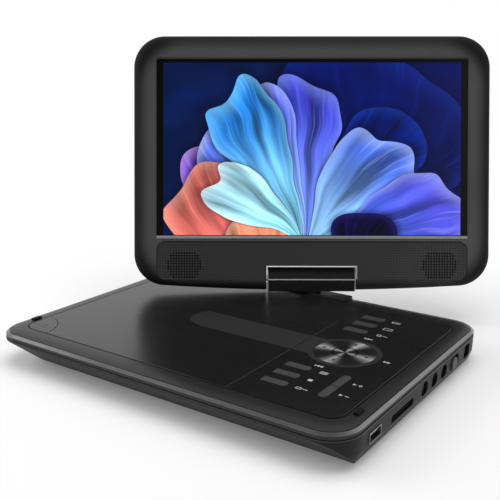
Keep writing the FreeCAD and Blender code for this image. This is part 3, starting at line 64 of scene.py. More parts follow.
class Builder:
    # adds nodes to a tree and joins them

    def __init__(self, tree):
        self.tree = tree

    def put(self, kind, **settings):
        node = self.tree.nodes.new(kind)
        for name, value in settings.items():
            setattr(node, name, value)
        return node

    def feed(self, socket, value):
        if isinstance(value, bpy.types.NodeSocket):
            self.tree.links.new(value, socket)
        elif value is not None:
            socket.default_value = value

    def after(self, kind, source, **settings):
        # a node whose first input is joined to a socket
        node = self.put(kind, **settings)
        self.feed(node.inputs[0], source)
        return node

    def math(self, operation, first, second=None, third=None, clamp=False):
        node = self.put("ShaderNodeMath", operation=operation, use_clamp=clamp)
        for socket, value in zip(node.inputs, (first, second, third)):
            self.feed(socket, value)
        return node.outputs[0]

    def mix(self, factor, first, second, blend="MIX"):
        node = self.put("ShaderNodeMix", data_type="RGBA", blend_type=blend)
        self.feed(node.inputs[0], factor)
        self.feed(node.inputs[6], first)
        self.feed(node.inputs[7], second)
        return node.outputs[2]

    def steps(self, value, low, high):
        # 0 below low, 1 above high, smooth between
        node = self.put("ShaderNodeMapRange", interpolation_type="SMOOTHSTEP")
        for socket, number in zip(node.inputs, (value, low, high)):
            self.feed(socket, number)
        return node.outputs[0]

    def span(self, value, low, high, outLow, outHigh):
        node = self.put("ShaderNodeMapRange")
        for socket, number in zip(node.inputs, (value, low, high, outLow, outHigh)):
            self.feed(socket, number)
        return node.outputs[0]

    def vector(self, x, y, z=0.0):
        node = self.put("ShaderNodeCombineXYZ")
        for socket, value in zip(node.inputs, (x, y, z)):
            self.feed(socket, value)
        return node.outputs[0]

    def split(self, vector):
        return self.after("ShaderNodeSeparateXYZ", vector).outputs

    def spread(self, noise, low, high):
        # a noise, nearly all of which lies between 0.3 and 0.7, stretched from low to high
        return self.span(noise, 0.3, 0.7, low, high)

    def noise(self, vector, scale, detail=2.0, rough=0.5):
        node = self.put("ShaderNodeTexNoise")
        self.feed(node.inputs["Vector"], vector)
        self.feed(node.inputs["Scale"], scale)
        node.inputs["Detail"].default_value = detail
        node.inputs["Roughness"].default_value = rough
        return node.outputs["Fac"]

    def tinted(self, colour, level):
        # a colour made darker or lighter by a level
        return self.mix(1.0, colour, self.vector(level, level, level), "MULTIPLY")

    def length(self, x, y):
        squares = [self.math("MULTIPLY", value, value) for value in (x, y)]
        return self.math("SQRT", self.math("ADD", *squares))

    def bump(self, height, strength, distance, normal=None, invert=False):
        # a normal from a height, with the distance in millimetres
        node = self.put("ShaderNodeBump", invert=invert)
        node.inputs["Strength"].default_value = strength
        node.inputs["Distance"].default_value = distance * mm
        self.feed(node.inputs["Height"], height)
        self.feed(node.inputs["Normal"], normal)
        return node.outputs[0]

    def place(self):
        return self.put("ShaderNodeTexCoord").outputs["Object"]

    def onScreen(self):
        # position in millimetres across, forward and up from the tilt axis, in the screen's own directions
        node = self.put("ShaderNodeMapping", vector_type="TEXTURE")
        self.feed(node.inputs["Vector"], self.place())
        node.inputs["Location"].default_value = axisPoint
        node.inputs["Rotation"].default_value = screenTurn
        node.inputs["Scale"].default_value = (mm, mm, mm)
        return node.outputs[0]

    def onBase(self):
        # position in millimetres in the base's directions
        node = self.put("ShaderNodeMapping", vector_type="TEXTURE")
        self.feed(node.inputs["Vector"], self.place())
        node.inputs["Scale"].default_value = (mm, mm, mm)
        return node.outputs[0]


# shared effects

grainValues = {"broadScale": 0.02, "toneLow": 0.92, "toneHigh": 1.08, "strength": 0.4}


def makeGrain():
    # fine moulded texture: a height, and a roughness that varies with it
    tree = bpy.data.node_groups.new("mouldedGrain", "ShaderNodeTree")
    newSocket(tree, "Vector", "Vector")
    newSocket(tree, "Grain size", "Float", value=0.35)
    newSocket(tree, "Roughness", "Float", value=0.5)
    newSocket(tree, "Spread", "Float", value=0.08)
    newSocket(tree, "Height", "Float", out=True)
    newSocket(tree, "Roughness", "Float", out=True)
    newSocket(tree, "Tone", "Float", out=True)
    b = Builder(tree)
    given = b.put("NodeGroupInput").outputs
    result = b.put("NodeGroupOutput").inputs
    fine = b.noise(given["Vector"], b.math("DIVIDE", 1.0, given["Grain size"]), 2.0, 0.6)
    broad = b.noise(given["Vector"], grainValues["broadScale"], 3.0)
    b.feed(result["Height"], fine)
    wander = b.math("MULTIPLY", b.math("SUBTRACT", b.math("ADD", fine, broad), 1.0), given["Spread"])
    b.feed(result["Roughness"], b.math("ADD", given["Roughness"], wander, clamp=True))
    b.feed(result["Tone"], b.spread(broad, grainValues["toneLow"], grainValues["toneHigh"]))
    return tree


grain = makeGrain()


def newMaterial(name):
    material = bpy.data.materials.new(name)
    material.use_nodes = True
    b = Builder(material.node_tree)
    shader = material.node_tree.nodes["Principled BSDF"]
    return material, b, shader


def plastic(name, tone, roughness, grainSize=0.35, bump=0.02, spread=0.08, specular=0.5, where="base",
            metallic=0.0):
    # a moulded plastic or painted finish
    material, b, shader = newMaterial(name)
    texture = b.put("ShaderNodeGroup", node_tree=grain)
    b.feed(texture.inputs["Vector"], b.onBase() if where == "base" else b.onScreen())
    texture.inputs["Grain size"].default_value = grainSize
    texture.inputs["Roughness"].default_value = roughness
    texture.inputs["Spread"].default_value = spread
    b.feed(shader.inputs["Base Color"], b.tinted((*tone, 1.0), texture.outputs["Tone"]))
    b.feed(shader.inputs["Roughness"], texture.outputs["Roughness"])
    b.feed(shader.inputs["Normal"], b.bump(texture.outputs["Height"], grainValues["strength"], bump))
    shader.inputs["Specular IOR Level"].default_value = specular
    shader.inputs["Metallic"].default_value = metallic
    return material


def painted(material):
    # a finished material's builder, shader and present colour, for what is laid over it
    shader = material.node_tree.nodes["Principled BSDF"]
    return Builder(material.node_tree), shader, shader.inputs["Base Color"].links[0].from_socket


def grey(level):
    return (level, level, level * 1.03)


# tone, roughness, grain size and bump in millimetres, and how far the roughness wanders
materials = {
    "lowerShell": plastic("lowerShell", grey(0.014), 0.42, 0.3, 0.03, specular=0.14),
    "upperShell": plastic("upperShell", grey(0.014), 0.38, 0.3, 0.006, 0.05, specular=0.35),
    "silverBand": plastic("silverBand", (0.22, 0.22, 0.23), 0.28, 0.12, 0.004, 0.1, metallic=0.95),
    "deckGloss": plastic("deckGloss", grey(0.0105), 0.27, 0.5, 0.003, 0.04, specular=0.4),
    "stripe": plastic("stripe", grey(0.032), 0.3, 0.25, 0.004),
    "keyCap": plastic("keyCap", grey(0.058), 0.42, 0.25, 0.006, specular=0.35),
    "backCover": plastic("backCover", grey(0.02), 0.3, 0.28, 0.02, where="screen"),
    "rubber": plastic("rubber", grey(0.006), 0.7, 0.5, 0.05, specular=0.2),
    "socketPlastic": plastic("socketPlastic", grey(0.012), 0.35, 0.3, 0.01),
    "coneBlack": plastic("coneBlack", grey(0.002), 0.8, 0.4, 0.04, where="screen", specular=0.05),
    "steel": plastic("steel", (0.56, 0.56, 0.58), 0.3, 0.2, 0.004, 0.12, metallic=1.0),
    "socketMetal": plastic("socketMetal", (0.3, 0.3, 0.31), 0.38, 0.2, 0.004, 0.12, metallic=1.0),
    "sillHighlightGrey": plastic("sillHighlightGrey", grey(0.3), 0.45, 0.3, 0.004, where="screen", specular=0.3),
    "hingeSatin": plastic("hingeSatin", grey(0.016), 0.36, 0.3, 0.004, 0.05, specular=0.4),
    "brightTrim": plastic("brightTrim", (0.9, 0.9, 0.91), 0.26, 0.3, 0.001, 0.05, metallic=0.25),
    "labelGrey": plastic("labelGrey", grey(0.16), 0.5, 0.4, 0.003),
    "darkSteel": plastic("darkSteel", (0.09, 0.09, 0.1), 0.35, 0.2, 0.004, 0.12, metallic=1.0),
    "board": plastic("board", (0.012, 0.09, 0.035), 0.4, 0.6, 0.03),
    "batteryWrap": plastic("batteryWrap", (0.02, 0.05, 0.12), 0.35, 0.8, 0.02),
    "markWhite": plastic("markWhite", (0.55, 0.55, 0.56), 0.5, 0.3, 0.002),
    "markBlack": plastic("markBlack", grey(0.006), 0.4, 0.3, 0.002),
    # near black as painted shade for holes, slots and gaps
    "holeShadeBlack": plastic("holeShadeBlack", grey(0.004), 0.8, 0.3, 0.002),
    "gold": plastic("gold", (0.75, 0.5, 0.2), 0.25, 0.2, 0.002, 0.08, metallic=1.0),
}
print("plain materials made")


# the screen's front: painted shade darkens it towards its rounded outline, and painted light brightens it
# further in

front = {"half": 133.5, "low": -9.1, "high": 181.6, "corner": 38.0, "edgeShadeTone": 0.4, "innerLightTone": 2.1,
         "fadeFrom": 2.0, "fadeTo": 13.5, "base": 0.05}


def makeEdgeFade():
    # the depth inside a rounded rectangle, from 0 at its outline to 1 further in
    tree = bpy.data.node_groups.new("outlineFade", "ShaderNodeTree")
    for name in ("Across", "Up", "Half width", "Half height", "Corner", "From", "To"):
        newSocket(tree, name, "Float")
    newSocket(tree, "Fade", "Float", out=True)
    b = Builder(tree)
    given = b.put("NodeGroupInput").outputs
    past = []
    for place, half in (("Across", "Half width"), ("Up", "Half height")):
        straight = b.math("SUBTRACT", given[half], given["Corner"])
        past.append(b.math("SUBTRACT", b.math("ABSOLUTE", given[place]), straight))
    squares = [b.math("POWER", b.math("MAXIMUM", value, 0.0), 2.0) for value in past]
    beyond = b.math("SQRT", b.math("ADD", *squares))
    inside = b.math("MINIMUM", b.math("MAXIMUM", *past), 0.0)
    depth = b.math("SUBTRACT", given["Corner"], b.math("ADD", beyond, inside))
    b.feed(b.put("NodeGroupOutput").inputs[0], b.steps(depth, given["From"], given["To"]))
    return tree


def makeBezelMaterial():
    material = plastic("bezelFront", grey(front["base"]), 0.55, 0.28, 0.03, where="screen", specular=0.06)
    b, shader, plain = painted(material)
    across, _, up = b.split(b.onScreen())
    fade = b.put("ShaderNodeGroup", node_tree=makeEdgeFade())
    middle = (front["low"] + front["high"]) / 2
    settings = {"Half width": front["half"], "Half height": front["high"] - middle, "Corner": front["corner"],
                "From": front["fadeFrom"], "To": front["fadeTo"]}
    for name, value in settings.items():
        fade.inputs[name].default_value = value
    b.feed(fade.inputs["Across"], across)
    b.feed(fade.inputs["Up"], b.math("SUBTRACT", up, middle))
    # painted shade near the rounded outline, painted light further in
    tone = b.span(fade.outputs["Fade"], 0.0, 1.0, front["edgeShadeTone"], front["innerLightTone"])
    b.feed(shader.inputs["Base Color"], b.tinted(plain, tone))
    return material


materials["bezelFront"] = makeBezelMaterial()


# the upper shell, with painted shade: black inside the groove round the deck

groove = {"halfX": 119.3, "halfY": 82.6, "middleY": -1.7, "soft": 0.1, "from": 22.72, "to": 22.6}


def makeGrooveShadowShell():
    material = plastic("grooveShadowShell", grey(0.014), 0.38, 0.3, 0.006, 0.05, specular=0.35)
    b, shader, plain = painted(material)
    x, y, z = b.split(b.onBase())
    within = []
    for value, half in ((x, groove["halfX"]), (b.math("SUBTRACT", y, groove["middleY"]), groove["halfY"])):
        within.append(b.steps(b.math("ABSOLUTE", value), half, half - groove["soft"]))
    inside = b.math("MULTIPLY", b.math("MULTIPLY", *within), b.steps(z, groove["from"], groove["to"]))
    # painted shade: the groove's walls and floor are made black
    b.feed(shader.inputs["Base Color"], b.mix(inside, plain, (0, 0, 0, 1)))
    return material


materials["grooveShadowShell"] = makeGrooveShadowShell()


# the speaker strip is dimpled all over, in line with its holes; each dimple is darkened with painted shade

dimples = {"pitch": 2.0, "fieldX": 95.2, "firstRow": 10.8, "radius": 0.42, "soft": 0.2, "tone": 0.5,
           "depth": 0.12, "strength": 0.5}


def makeDimples():
    # a grid of round dots on a plane, the same to the left and to the right of its middle
    tree = bpy.data.node_groups.new("dimpleGrid", "ShaderNodeTree")
    for name in ("Across", "Up", "Pitch", "Radius", "Softness"):
        newSocket(tree, name, "Float")
    newSocket(tree, "Mask", "Float", out=True)
    b = Builder(tree)
    given = b.put("NodeGroupInput").outputs
    squares = []
    for name in ("Across", "Up"):
        cell = b.math("FRACT", b.math("ADD", b.math("DIVIDE", given[name], given["Pitch"]), 0.5))
        offset = b.math("MULTIPLY", b.math("SUBTRACT", cell, 0.5), given["Pitch"])
        squares.append(b.math("POWER", offset, 2.0))
    away = b.math("SQRT", b.math("ADD", *squares))
    outer = b.math("ADD", given["Radius"], given["Softness"])
    b.feed(b.put("NodeGroupOutput").inputs[0], b.steps(away, outer, given["Radius"]))
    return tree


def makeStripMaterial():
    material = plastic("dimpledStrip", grey(0.066), 0.55, 0.28, 0.03, where="screen", specular=0.06)
    b, shader, plain = painted(material)
    grained = shader.inputs["Normal"].links[0].from_socket
    across, _, up = b.split(b.onScreen())
    dots = b.put("ShaderNodeGroup", node_tree=makeDimples())
    b.feed(dots.inputs["Across"], b.math("SUBTRACT", b.math("ABSOLUTE", across), dimples["fieldX"]))
    b.feed(dots.inputs["Up"], b.math("SUBTRACT", up, dimples["firstRow"]))
    for name, key in (("Pitch", "pitch"), ("Radius", "radius"), ("Softness", "soft")):
        dots.inputs[name].default_value = dimples[key]
    # painted shade: each dimple is darker than the strip round it; the bump below gives the dimples' relief
    tone = b.span(dots.outputs["Mask"], 0.0, 1.0, 1.0, dimples["tone"])
    b.feed(shader.inputs["Base Color"], b.tinted(plain, tone))
    relief = b.bump(dots.outputs["Mask"], dimples["strength"], dimples["depth"], grained, invert=True)
    b.feed(shader.inputs["Normal"], relief)
    return material


materials["dimpledStrip"] = makeStripMaterial()
print("bezel and strip materials made")


# the dial: a round-brushed face whose colour holds painted highlights: light and dark wedges of painted
# reflection that meet at its middle

dial = {
    # direction, sharpness and brightness of each painted highlight wedge
    "highlightWedges": ((80, 34, 0.8), (264, 34, 0.6), (176, 30, 0.7), (352, 30, 0.62)),
    "floor": 0.03, "streakScale": 9.0, "streakLow": 0.75, "streakHigh": 1.25, "seam": 7.6, "seamFrom": 0.3,
    "seamTo": 0.9, "seamTone": 0.25, "ringScale": 7.0, "metallic": 0.6, "smooth": 0.3, "rough": 0.45,
    "strength": 0.3, "depth": 0.01,
}


def makeHighlightWedges():
    tree = bpy.data.node_groups.new("brushedHighlightWedges", "ShaderNodeTree")
    newSocket(tree, "Vector", "Vector")
    newSocket(tree, "Colour", "Color", out=True)
    newSocket(tree, "Rings", "Float", out=True)
    b = Builder(tree)
    given = b.put("NodeGroupInput").outputs
    result = b.put("NodeGroupOutput").inputs
    x, y, _ = b.split(given["Vector"])
    x = b.math("SUBTRACT", x, deck["dialX"])
    y = b.math("SUBTRACT", y, deck["dialY"])
    radius = b.length(x, y)
    angle = b.math("ARCTAN2", y, x)
    total = None
    # each wedge is a painted highlight, the brushed metal's reflection laid into the colour
    for centre, sharpness, brightness in dial["highlightWedges"]:
        turn = b.math("SUBTRACT", angle, math.radians(centre))
        facing = b.math("MAXIMUM", b.math("COSINE", turn), 0.0)
        glint = b.math("MULTIPLY", b.math("POWER", facing, sharpness), brightness)
        total = glint if total is None else b.math("ADD", total, glint)
    streak = b.noise(b.vector(b.math("COSINE", angle), b.math("SINE", angle)), dial["streakScale"], 3.0)
    streaked = b.math("MULTIPLY", total, b.spread(streak, dial["streakLow"], dial["streakHigh"]))
    level = b.math("ADD", streaked, dial["floor"])
    away = b.math("ABSOLUTE", b.math("SUBTRACT", radius, dial["seam"]))
    seam = b.steps(away, dial["seamFrom"], dial["seamTo"])
    level = b.math("MULTIPLY", level, b.span(seam, 0.0, 1.0, dial["seamTone"], 1.0))
    b.feed(result["Colour"], b.vector(level, level, level))
    b.feed(result["Rings"], b.noise(b.vector(b.math("MULTIPLY", radius, dial["ringScale"]), 0.0), 1.0))
    return tree


def makeDialMaterial():
    material, b, shader = newMaterial("dialMetal")
    highlightWedges = b.put("ShaderNodeGroup", node_tree=makeHighlightWedges())
    b.feed(highlightWedges.inputs["Vector"], b.onBase())
    b.feed(shader.inputs["Base Color"], highlightWedges.outputs["Colour"])
    shader.inputs["Metallic"].default_value = dial["metallic"]
    rings = highlightWedges.outputs["Rings"]
    b.feed(shader.inputs["Roughness"], b.spread(rings, dial["smooth"], dial["rough"]))
    b.feed(shader.inputs["Normal"], b.bump(rings, dial["strength"], dial["depth"]))
    return material


materials["dial"] = makeDialMaterial()


# the picture: petals that rise from one root, each with veins, folds and a bright rim

picture = {
    "middle": 96.6, "half": 64.4, "wide": 111.0, "border": 0.25, "borderEnd": 0.996,
    "flow": 0.14, "flowScale": 1.6, "cloud": 0.35, "shadow": 0.55, "glass": 0.35, "glassShine": 0.25,
    "backLeft": (0.001, 0.008, 0.055), "backRight": (0.0, 0.004, 0.1), "cloudColour": (0.0, 0.03, 0.3),
    "shadowColour": (0.0, 0.0, 0.02), "glassColour": (0.004, 0.004, 0.006), "seedStep": 1.7, "seedFirst": 0.4,
    # root, direction, half spread, reach, bend, ruffle and folds; then near, far and rim colours
    "petals": (
        ((0.25, -1.1), 58, 46, 2.25, -0.12, 0.03, 4.0,
         (0.0, 0.004, 0.07), (0.0, 0.012, 0.15), (0.02, 0.05, 0.4)),
        ((0.15, -0.6), 52, 30, 1.35, 0.12, 0.04, 4.0,
         (0.0, 0.006, 0.1), (0.0, 0.02, 0.24), (0.02, 0.08, 0.5)),
        ((0.5, -1.35), 20, 20, 1.75, 0.10, 0.04, 5.0,
         (0.0, 0.002, 0.04), (0.0, 0.01, 0.18), (0.02, 0.06, 0.45)),
        ((-0.5, -1.05), 136, 30, 1.36, 0.20, 0.05, 5.0,
         (0.45, 0.14, 0.5), (0.2, 0.1, 0.65), (0.8, 0.5, 0.9)),
        ((-0.25, -1.0), 136, 19, 1.50, 0.10, 0.05, 5.0,
         (0.3, 0.42, 0.88), (0.14, 0.24, 0.85), (0.7, 0.72, 0.98)),
        ((-0.62, -1.35), 149, 32, 1.32, 0.30, 0.05, 6.0,
         (0.8, 0.2, 0.2), (0.85, 0.24, 0.2), (0.98, 0.55, 0.45)),
        ((-0.3, -1.62), 122, 40, 0.98, 0.22, 0.05, 6.0,
         (0.85, 0.3, 0.2), (0.92, 0.36, 0.22), (1.0, 0.66, 0.5)),
        ((-0.06, -1.05), 86, 15, 1.84, -0.04, 0.05, 4.0,
         (0.2, 0.3, 0.85), (0.07, 0.08, 0.62), (0.35, 0.45, 0.98)),
        ((-0.08, -1.05), 99, 10, 1.80, -0.06, 0.04, 4.0,
         (0.3, 0.5, 0.95), (0.16, 0.2, 0.82), (0.5, 0.6, 1.0)),
        ((-0.1, -1.05), 114, 17, 1.96, -0.02, 0.05, 5.0,
         (0.3, 0.7, 0.95), (0.02, 0.3, 0.88), (0.35, 0.8, 1.0)),
        ((-0.1, -1.05), 139, 21, 1.26, -0.10, 0.06, 6.0,
         (0.36, 0.78, 0.95), (0.5, 0.84, 0.97), (0.85, 0.97, 1.0)),
        ((-0.04, -1.08), 50, 34, 1.54, 0.12, 0.05, 9.0,
         (0.34, 0.62, 0.97), (0.1, 0.2, 0.82), (0.6, 0.75, 1.0)),
        ((0.12, -1.4), 40, 25, 1.80, 0.16, 0.03, 7.0,
         (0.08, 0.2, 0.8), (0.12, 0.12, 0.72), (0.55, 0.6, 1.0)),
        ((0.5, -1.52), 80, 42, 0.80, 0.10, 0.03, 5.0,
         (0.0, 0.0, 0.01), (0.004, 0.002, 0.05), (0.05, 0.03, 0.3)),
    ),
}


# how every petal is shaped and lit
petalValues = {
    "waver": 0.2, "waverScale": 1.3, "endPower": 5.0, "sidePower": 3.5, "edge": 0.985, "shadeFrom": 1.5,
    "shadeTo": 0.9, "veinAcross": 14.0, "veinAlong": 0.9, "foldAcross": 2.2, "foldAlong": 0.7, "texture": 1.2,
    "foldDark": 0.4, "foldLight": 1.55, "veinTone": 0.08, "streaks": 0.3, "glow": 0.4, "line": 0.45,
    "depth": 1.2,
}


def makePetal():
    tree = bpy.data.node_groups.new("petal", "ShaderNodeTree")
    newSocket(tree, "Vector", "Vector")
    for name in ("Root X", "Root Y", "Direction", "Spread", "Reach", "Bend", "Ruffle", "Folds", "Seed"):
        newSocket(tree, name, "Float")
    for name in ("Near", "Far", "Rim"):
        newSocket(tree, name, "Color")
    newSocket(tree, "Colour", "Color", out=True)
    newSocket(tree, "Mask", "Float", out=True)
    newSocket(tree, "Shade", "Float", out=True)
    b = Builder(tree)
    given = b.put("NodeGroupInput").outputs
    result = b.put("NodeGroupOutput").inputs
    p = petalValues
    x, y, _ = b.split(given["Vector"])
    x = b.math("SUBTRACT", x, given["Root X"])
    y = b.math("SUBTRACT", y, given["Root Y"])
    radius = b.length(x, y)
    waver = b.noise(b.vector(b.math("ADD", x, given["Seed"]), y), p["waverScale"], 1.0)
    bend = b.math("ADD", b.math("MULTIPLY", radius, given["Bend"]),
                  b.math("MULTIPLY", b.math("SUBTRACT", waver, 0.5), p["waver"]))
    angle = b.math("ADD", b.math("ARCTAN2", y, x), bend)
    across = b.math("DIVIDE", b.math("SUBTRACT", angle, given["Direction"]), given["Spread"])
    wave = b.math("SINE", b.math("ADD", b.math("MULTIPLY", across, given["Folds"]), given["Seed"]))
    ruffle = b.math("MULTIPLY", wave, given["Ruffle"])
    reach = b.math("MULTIPLY", given["Reach"], b.math("ADD", 1.0, ruffle))
    along = b.math("DIVIDE", radius, reach)
    # the outline: a rounded end and sides that close towards the root
    sides = b.math("POWER", b.math("ABSOLUTE", across), p["sidePower"])
    body = b.math("ADD", b.math("POWER", along, p["endPower"]), sides)
    b.feed(result["Mask"], b.steps(body, 1.0, p["edge"]))
    b.feed(result["Shade"], b.steps(body, p["shadeFrom"], p["shadeTo"]))
    stretched = []
    for kind in ("vein", "fold"):
        wide = b.math("MULTIPLY", across, p[kind + "Across"])
        tall = b.math("MULTIPLY", radius, p[kind + "Along"])
        stretched.append(b.vector(wide, tall, given["Seed"]))
    veins = b.noise(stretched[0], p["texture"], 3.0)
    folds = b.noise(stretched[1], p["texture"], 1.0)
    colour = b.mix(b.steps(along, 0.15, 0.95), given["Near"], given["Far"])
    folded = b.spread(folds, p["foldDark"], p["foldLight"])
    lit = b.math("ADD", folded, b.span(veins, 0.35, 0.65, -p["veinTone"], p["veinTone"]))
    colour = b.tinted(colour, lit)
    # thin bright streaks along the petal, and a rim that catches the light
    streaks = b.math("MULTIPLY", b.steps(veins, 0.56, 0.72), b.steps(along, 0.25, 0.8))
    colour = b.mix(b.math("MULTIPLY", streaks, p["streaks"]), colour, given["Rim"])
    glow = b.math("MULTIPLY", b.steps(body, 0.45, 1.0), p["glow"])
    line = b.math("MULTIPLY", b.steps(body, 0.93, 0.99), p["line"])
    colour = b.mix(b.math("MAXIMUM", glow, line), colour, given["Rim"])
    deep = b.put("ShaderNodeGamma")
    b.feed(deep.inputs["Color"], colour)
    b.feed(deep.inputs["Gamma"], p["depth"])
    b.feed(result["Colour"], deep.outputs[0])
    return tree


def makePictureMaterial():
    material, b, shader = newMaterial("picture")
    across, _, up = b.split(b.onScreen())
    u = b.math("DIVIDE", across, picture["half"])
    v = b.math("DIVIDE", b.math("SUBTRACT", up, picture["middle"]), picture["half"])
    flowing = []
    for value, seed in ((u, 3.0), (v, 9.0)):
        drift = b.math("SUBTRACT", b.noise(b.vector(u, v, seed), picture["flowScale"], 1.0), 0.5)
        flowing.append(b.math("ADD", value, b.math("MULTIPLY", drift, picture["flow"])))
    place = b.vector(*flowing)
    cloud = b.noise(place, 1.1, 2.0)
    colour = b.mix(b.steps(u, -0.6, 1.2), (*picture["backLeft"], 1), (*picture["backRight"], 1))
    cloudy = b.math("MULTIPLY", b.steps(cloud, 0.45, 0.8), picture["cloud"])
    colour = b.mix(cloudy, colour, (*picture["cloudColour"], 1))
    petal = makePetal()
    for number, row in enumerate(picture["petals"]):
        root, turn, spread, reach, bend, ruffle, folds, near, far, rim = row
        node = b.put("ShaderNodeGroup", node_tree=petal)
        b.feed(node.inputs["Vector"], place)
        seed = picture["seedStep"] * number + picture["seedFirst"]
        settings = {"Root X": root[0], "Root Y": root[1], "Direction": math.radians(turn),
                    "Spread": math.radians(spread), "Reach": reach, "Bend": bend, "Ruffle": ruffle,
                    "Folds": folds, "Seed": seed, "Near": (*near, 1), "Far": (*far, 1), "Rim": (*rim, 1)}
        for name, value in settings.items():
            node.inputs[name].default_value = value
        shadow = b.math("MULTIPLY", node.outputs["Shade"], picture["shadow"])
        colour = b.mix(shadow, colour, (*picture["shadowColour"], 1))
        colour = b.mix(node.outputs["Mask"], colour, node.outputs["Colour"])
    # dark border round the picture
    sides = b.steps(b.math("ABSOLUTE", across), picture["wide"], picture["wide"] - picture["border"])
    ends = b.steps(b.math("ABSOLUTE", v), 1.0, picture["borderEnd"])
    lit = b.math("MULTIPLY", sides, ends)
    lightPath = b.put("ShaderNodeLightPath")
    seen = b.math("MULTIPLY", lit, lightPath.outputs["Is Camera Ray"])
    colour = b.mix(seen, (0, 0, 0, 1), colour)
    shader.inputs["Base Color"].default_value = (*picture["glassColour"], 1)
    shader.inputs["Roughness"].default_value = picture["glass"]
    shader.inputs["Specular IOR Level"].default_value = picture["glassShine"]
    b.feed(shader.inputs["Emission Color"], colour)
    shader.inputs["Emission Strength"].default_value = 1.0
    return material


materials["picture"] = makePictureMaterial()
print("dial and picture materials made")


# the CAD nodes take their finishes

finishes = {
    "lower_housing": "lowerShell", "upper_housing": "grooveShadowShell", "hinge_pedestal": "upperShell",
    "trim_band": "silverBand", "disc_door": "deckGloss", "control_panel": "deckGloss",
    "open_button": "deckGloss", "door_stripe": "stripe", "dial_inlay": "stripe", "nav_pad": "dial",
    "nav_centre_key": "dial",
    "screen_bumpers": "rubber", "rubber_feet": "rubber", "loader_dampers": "rubber",
    # the card slot is near black as painted shade of its opening
    "usb_port": "socketMetal", "card_slot": "holeShadeBlack", "av_jacks": "socketPlastic",
    "dc_jack": "socketPlastic", "switch_case": "socketPlastic", "power_switch": "keyCap",
    "turntable": "socketPlastic", "pickup_head": "socketPlastic", "battery_pack": "batteryWrap",
    "key_board": "board", "main_board": "board",
    "lcd_driver_board": "board", "swivel_foot": "darkSteel", "swivel_retainer": "darkSteel",
    "hinge_cover": "hingeSatin", "hinge_trim": "brightTrim", "notch_trim": "brightTrim",
    "screen_bezel": "bezelFront", "screen_back_cover": "backCover", "lcd_panel": "picture",
    "speaker_strip": "dimpledStrip", "speakers": "coneBlack", "base_screws": "darkSteel",
    "screen_screws": "darkSteel",
}
for name, thing in nodes.items():
    finish = finishes.get(name, "keyCap" if name.endswith("_key") else "steel")
    thing.data.materials.clear()
    thing.data.materials.append(materials[finish])
print("finishes set")


# new pieces

def finished(thing, body, slot, material, *replaced):
    # give a piece its finish, and let it move with its body
    if thing.name not in bpy.context.scene.collection.objects:
        bpy.context.scene.collection.objects.link(thing)
    thing.data.materials.clear()
    thing.data.materials.append(materials[material])
    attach(thing, body)
    if replaced:
        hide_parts(*replaced)
    return thing


def meshPiece(name, shape, matrix=None):
    # a mesh object from a bmesh, with its place in the mesh
    bmesh.ops.recalc_face_normals(shape, faces=shape.faces)
    if matrix is not None:
        shape.transform(matrix)
    mesh = bpy.data.meshes.new(name)
    shape.to_mesh(mesh)
    shape.free()
    return bpy.data.objects.new(name, mesh)


def slab(shape, outline, low, high):
    # a flat prism over an outline of (x, y) points, in millimetres
    bottom = [shape.verts.new((x * mm, y * mm, low * mm)) for x, y in outline]
    top = [shape.verts.new((x * mm, y * mm, high * mm)) for x, y in outline]
    shape.faces.new(bottom[::-1])
    shape.faces.new(top)
    for number in range(len(outline)):
        after = (number + 1) % len(outline)
        shape.faces.new((bottom[number], bottom[after], top[after], top[number]))


def turned(outline, degrees, x, y):
    c, s = math.cos(math.radians(degrees)), math.sin(math.radians(degrees))
    return [(x + c * a - s * b, y + s * a + c * b) for a, b in outline]


def triangle(size):
    # points along +X
    back, side = -size * 0.7, size * 0.85
    return [(size, 0), (back, side), (back, -side)]


def bar(width, depth, x=0.0, y=0.0):
    a, c = width / 2, depth / 2
    return [(x - a, y - c), (x + a, y - c), (x + a, y + c), (x - a, y + c)]


def circlePoint(radius, angle, x=0.0, y=0.0):
    return x + radius * math.cos(angle), y + radius * math.sin(angle)


def ring(outer, inner, sides=24):
    # quads of a flat ring, as a list of outlines
    parts = []
    for number in range(sides):
        start, end = [2 * math.pi * (number + step) / sides for step in (0, 1)]
        parts.append([circlePoint(inner, start), circlePoint(outer, start),
                      circlePoint(outer, end), circlePoint(inner, end)])
    return parts


marks = {"top": 23.02, "sunk": 0.03, "thickness": 0.05, "arrowRadius": 14.5, "arrow": 1.5, "dialSunk": 0.02,
         "dialThickness": 0.04, "openX": -107, "openArrowY": -72.6, "openArrow": 2.4, "openBarY": -76.6,
         "openBar": (4.4, 0.9), "openSunk": 0.02}


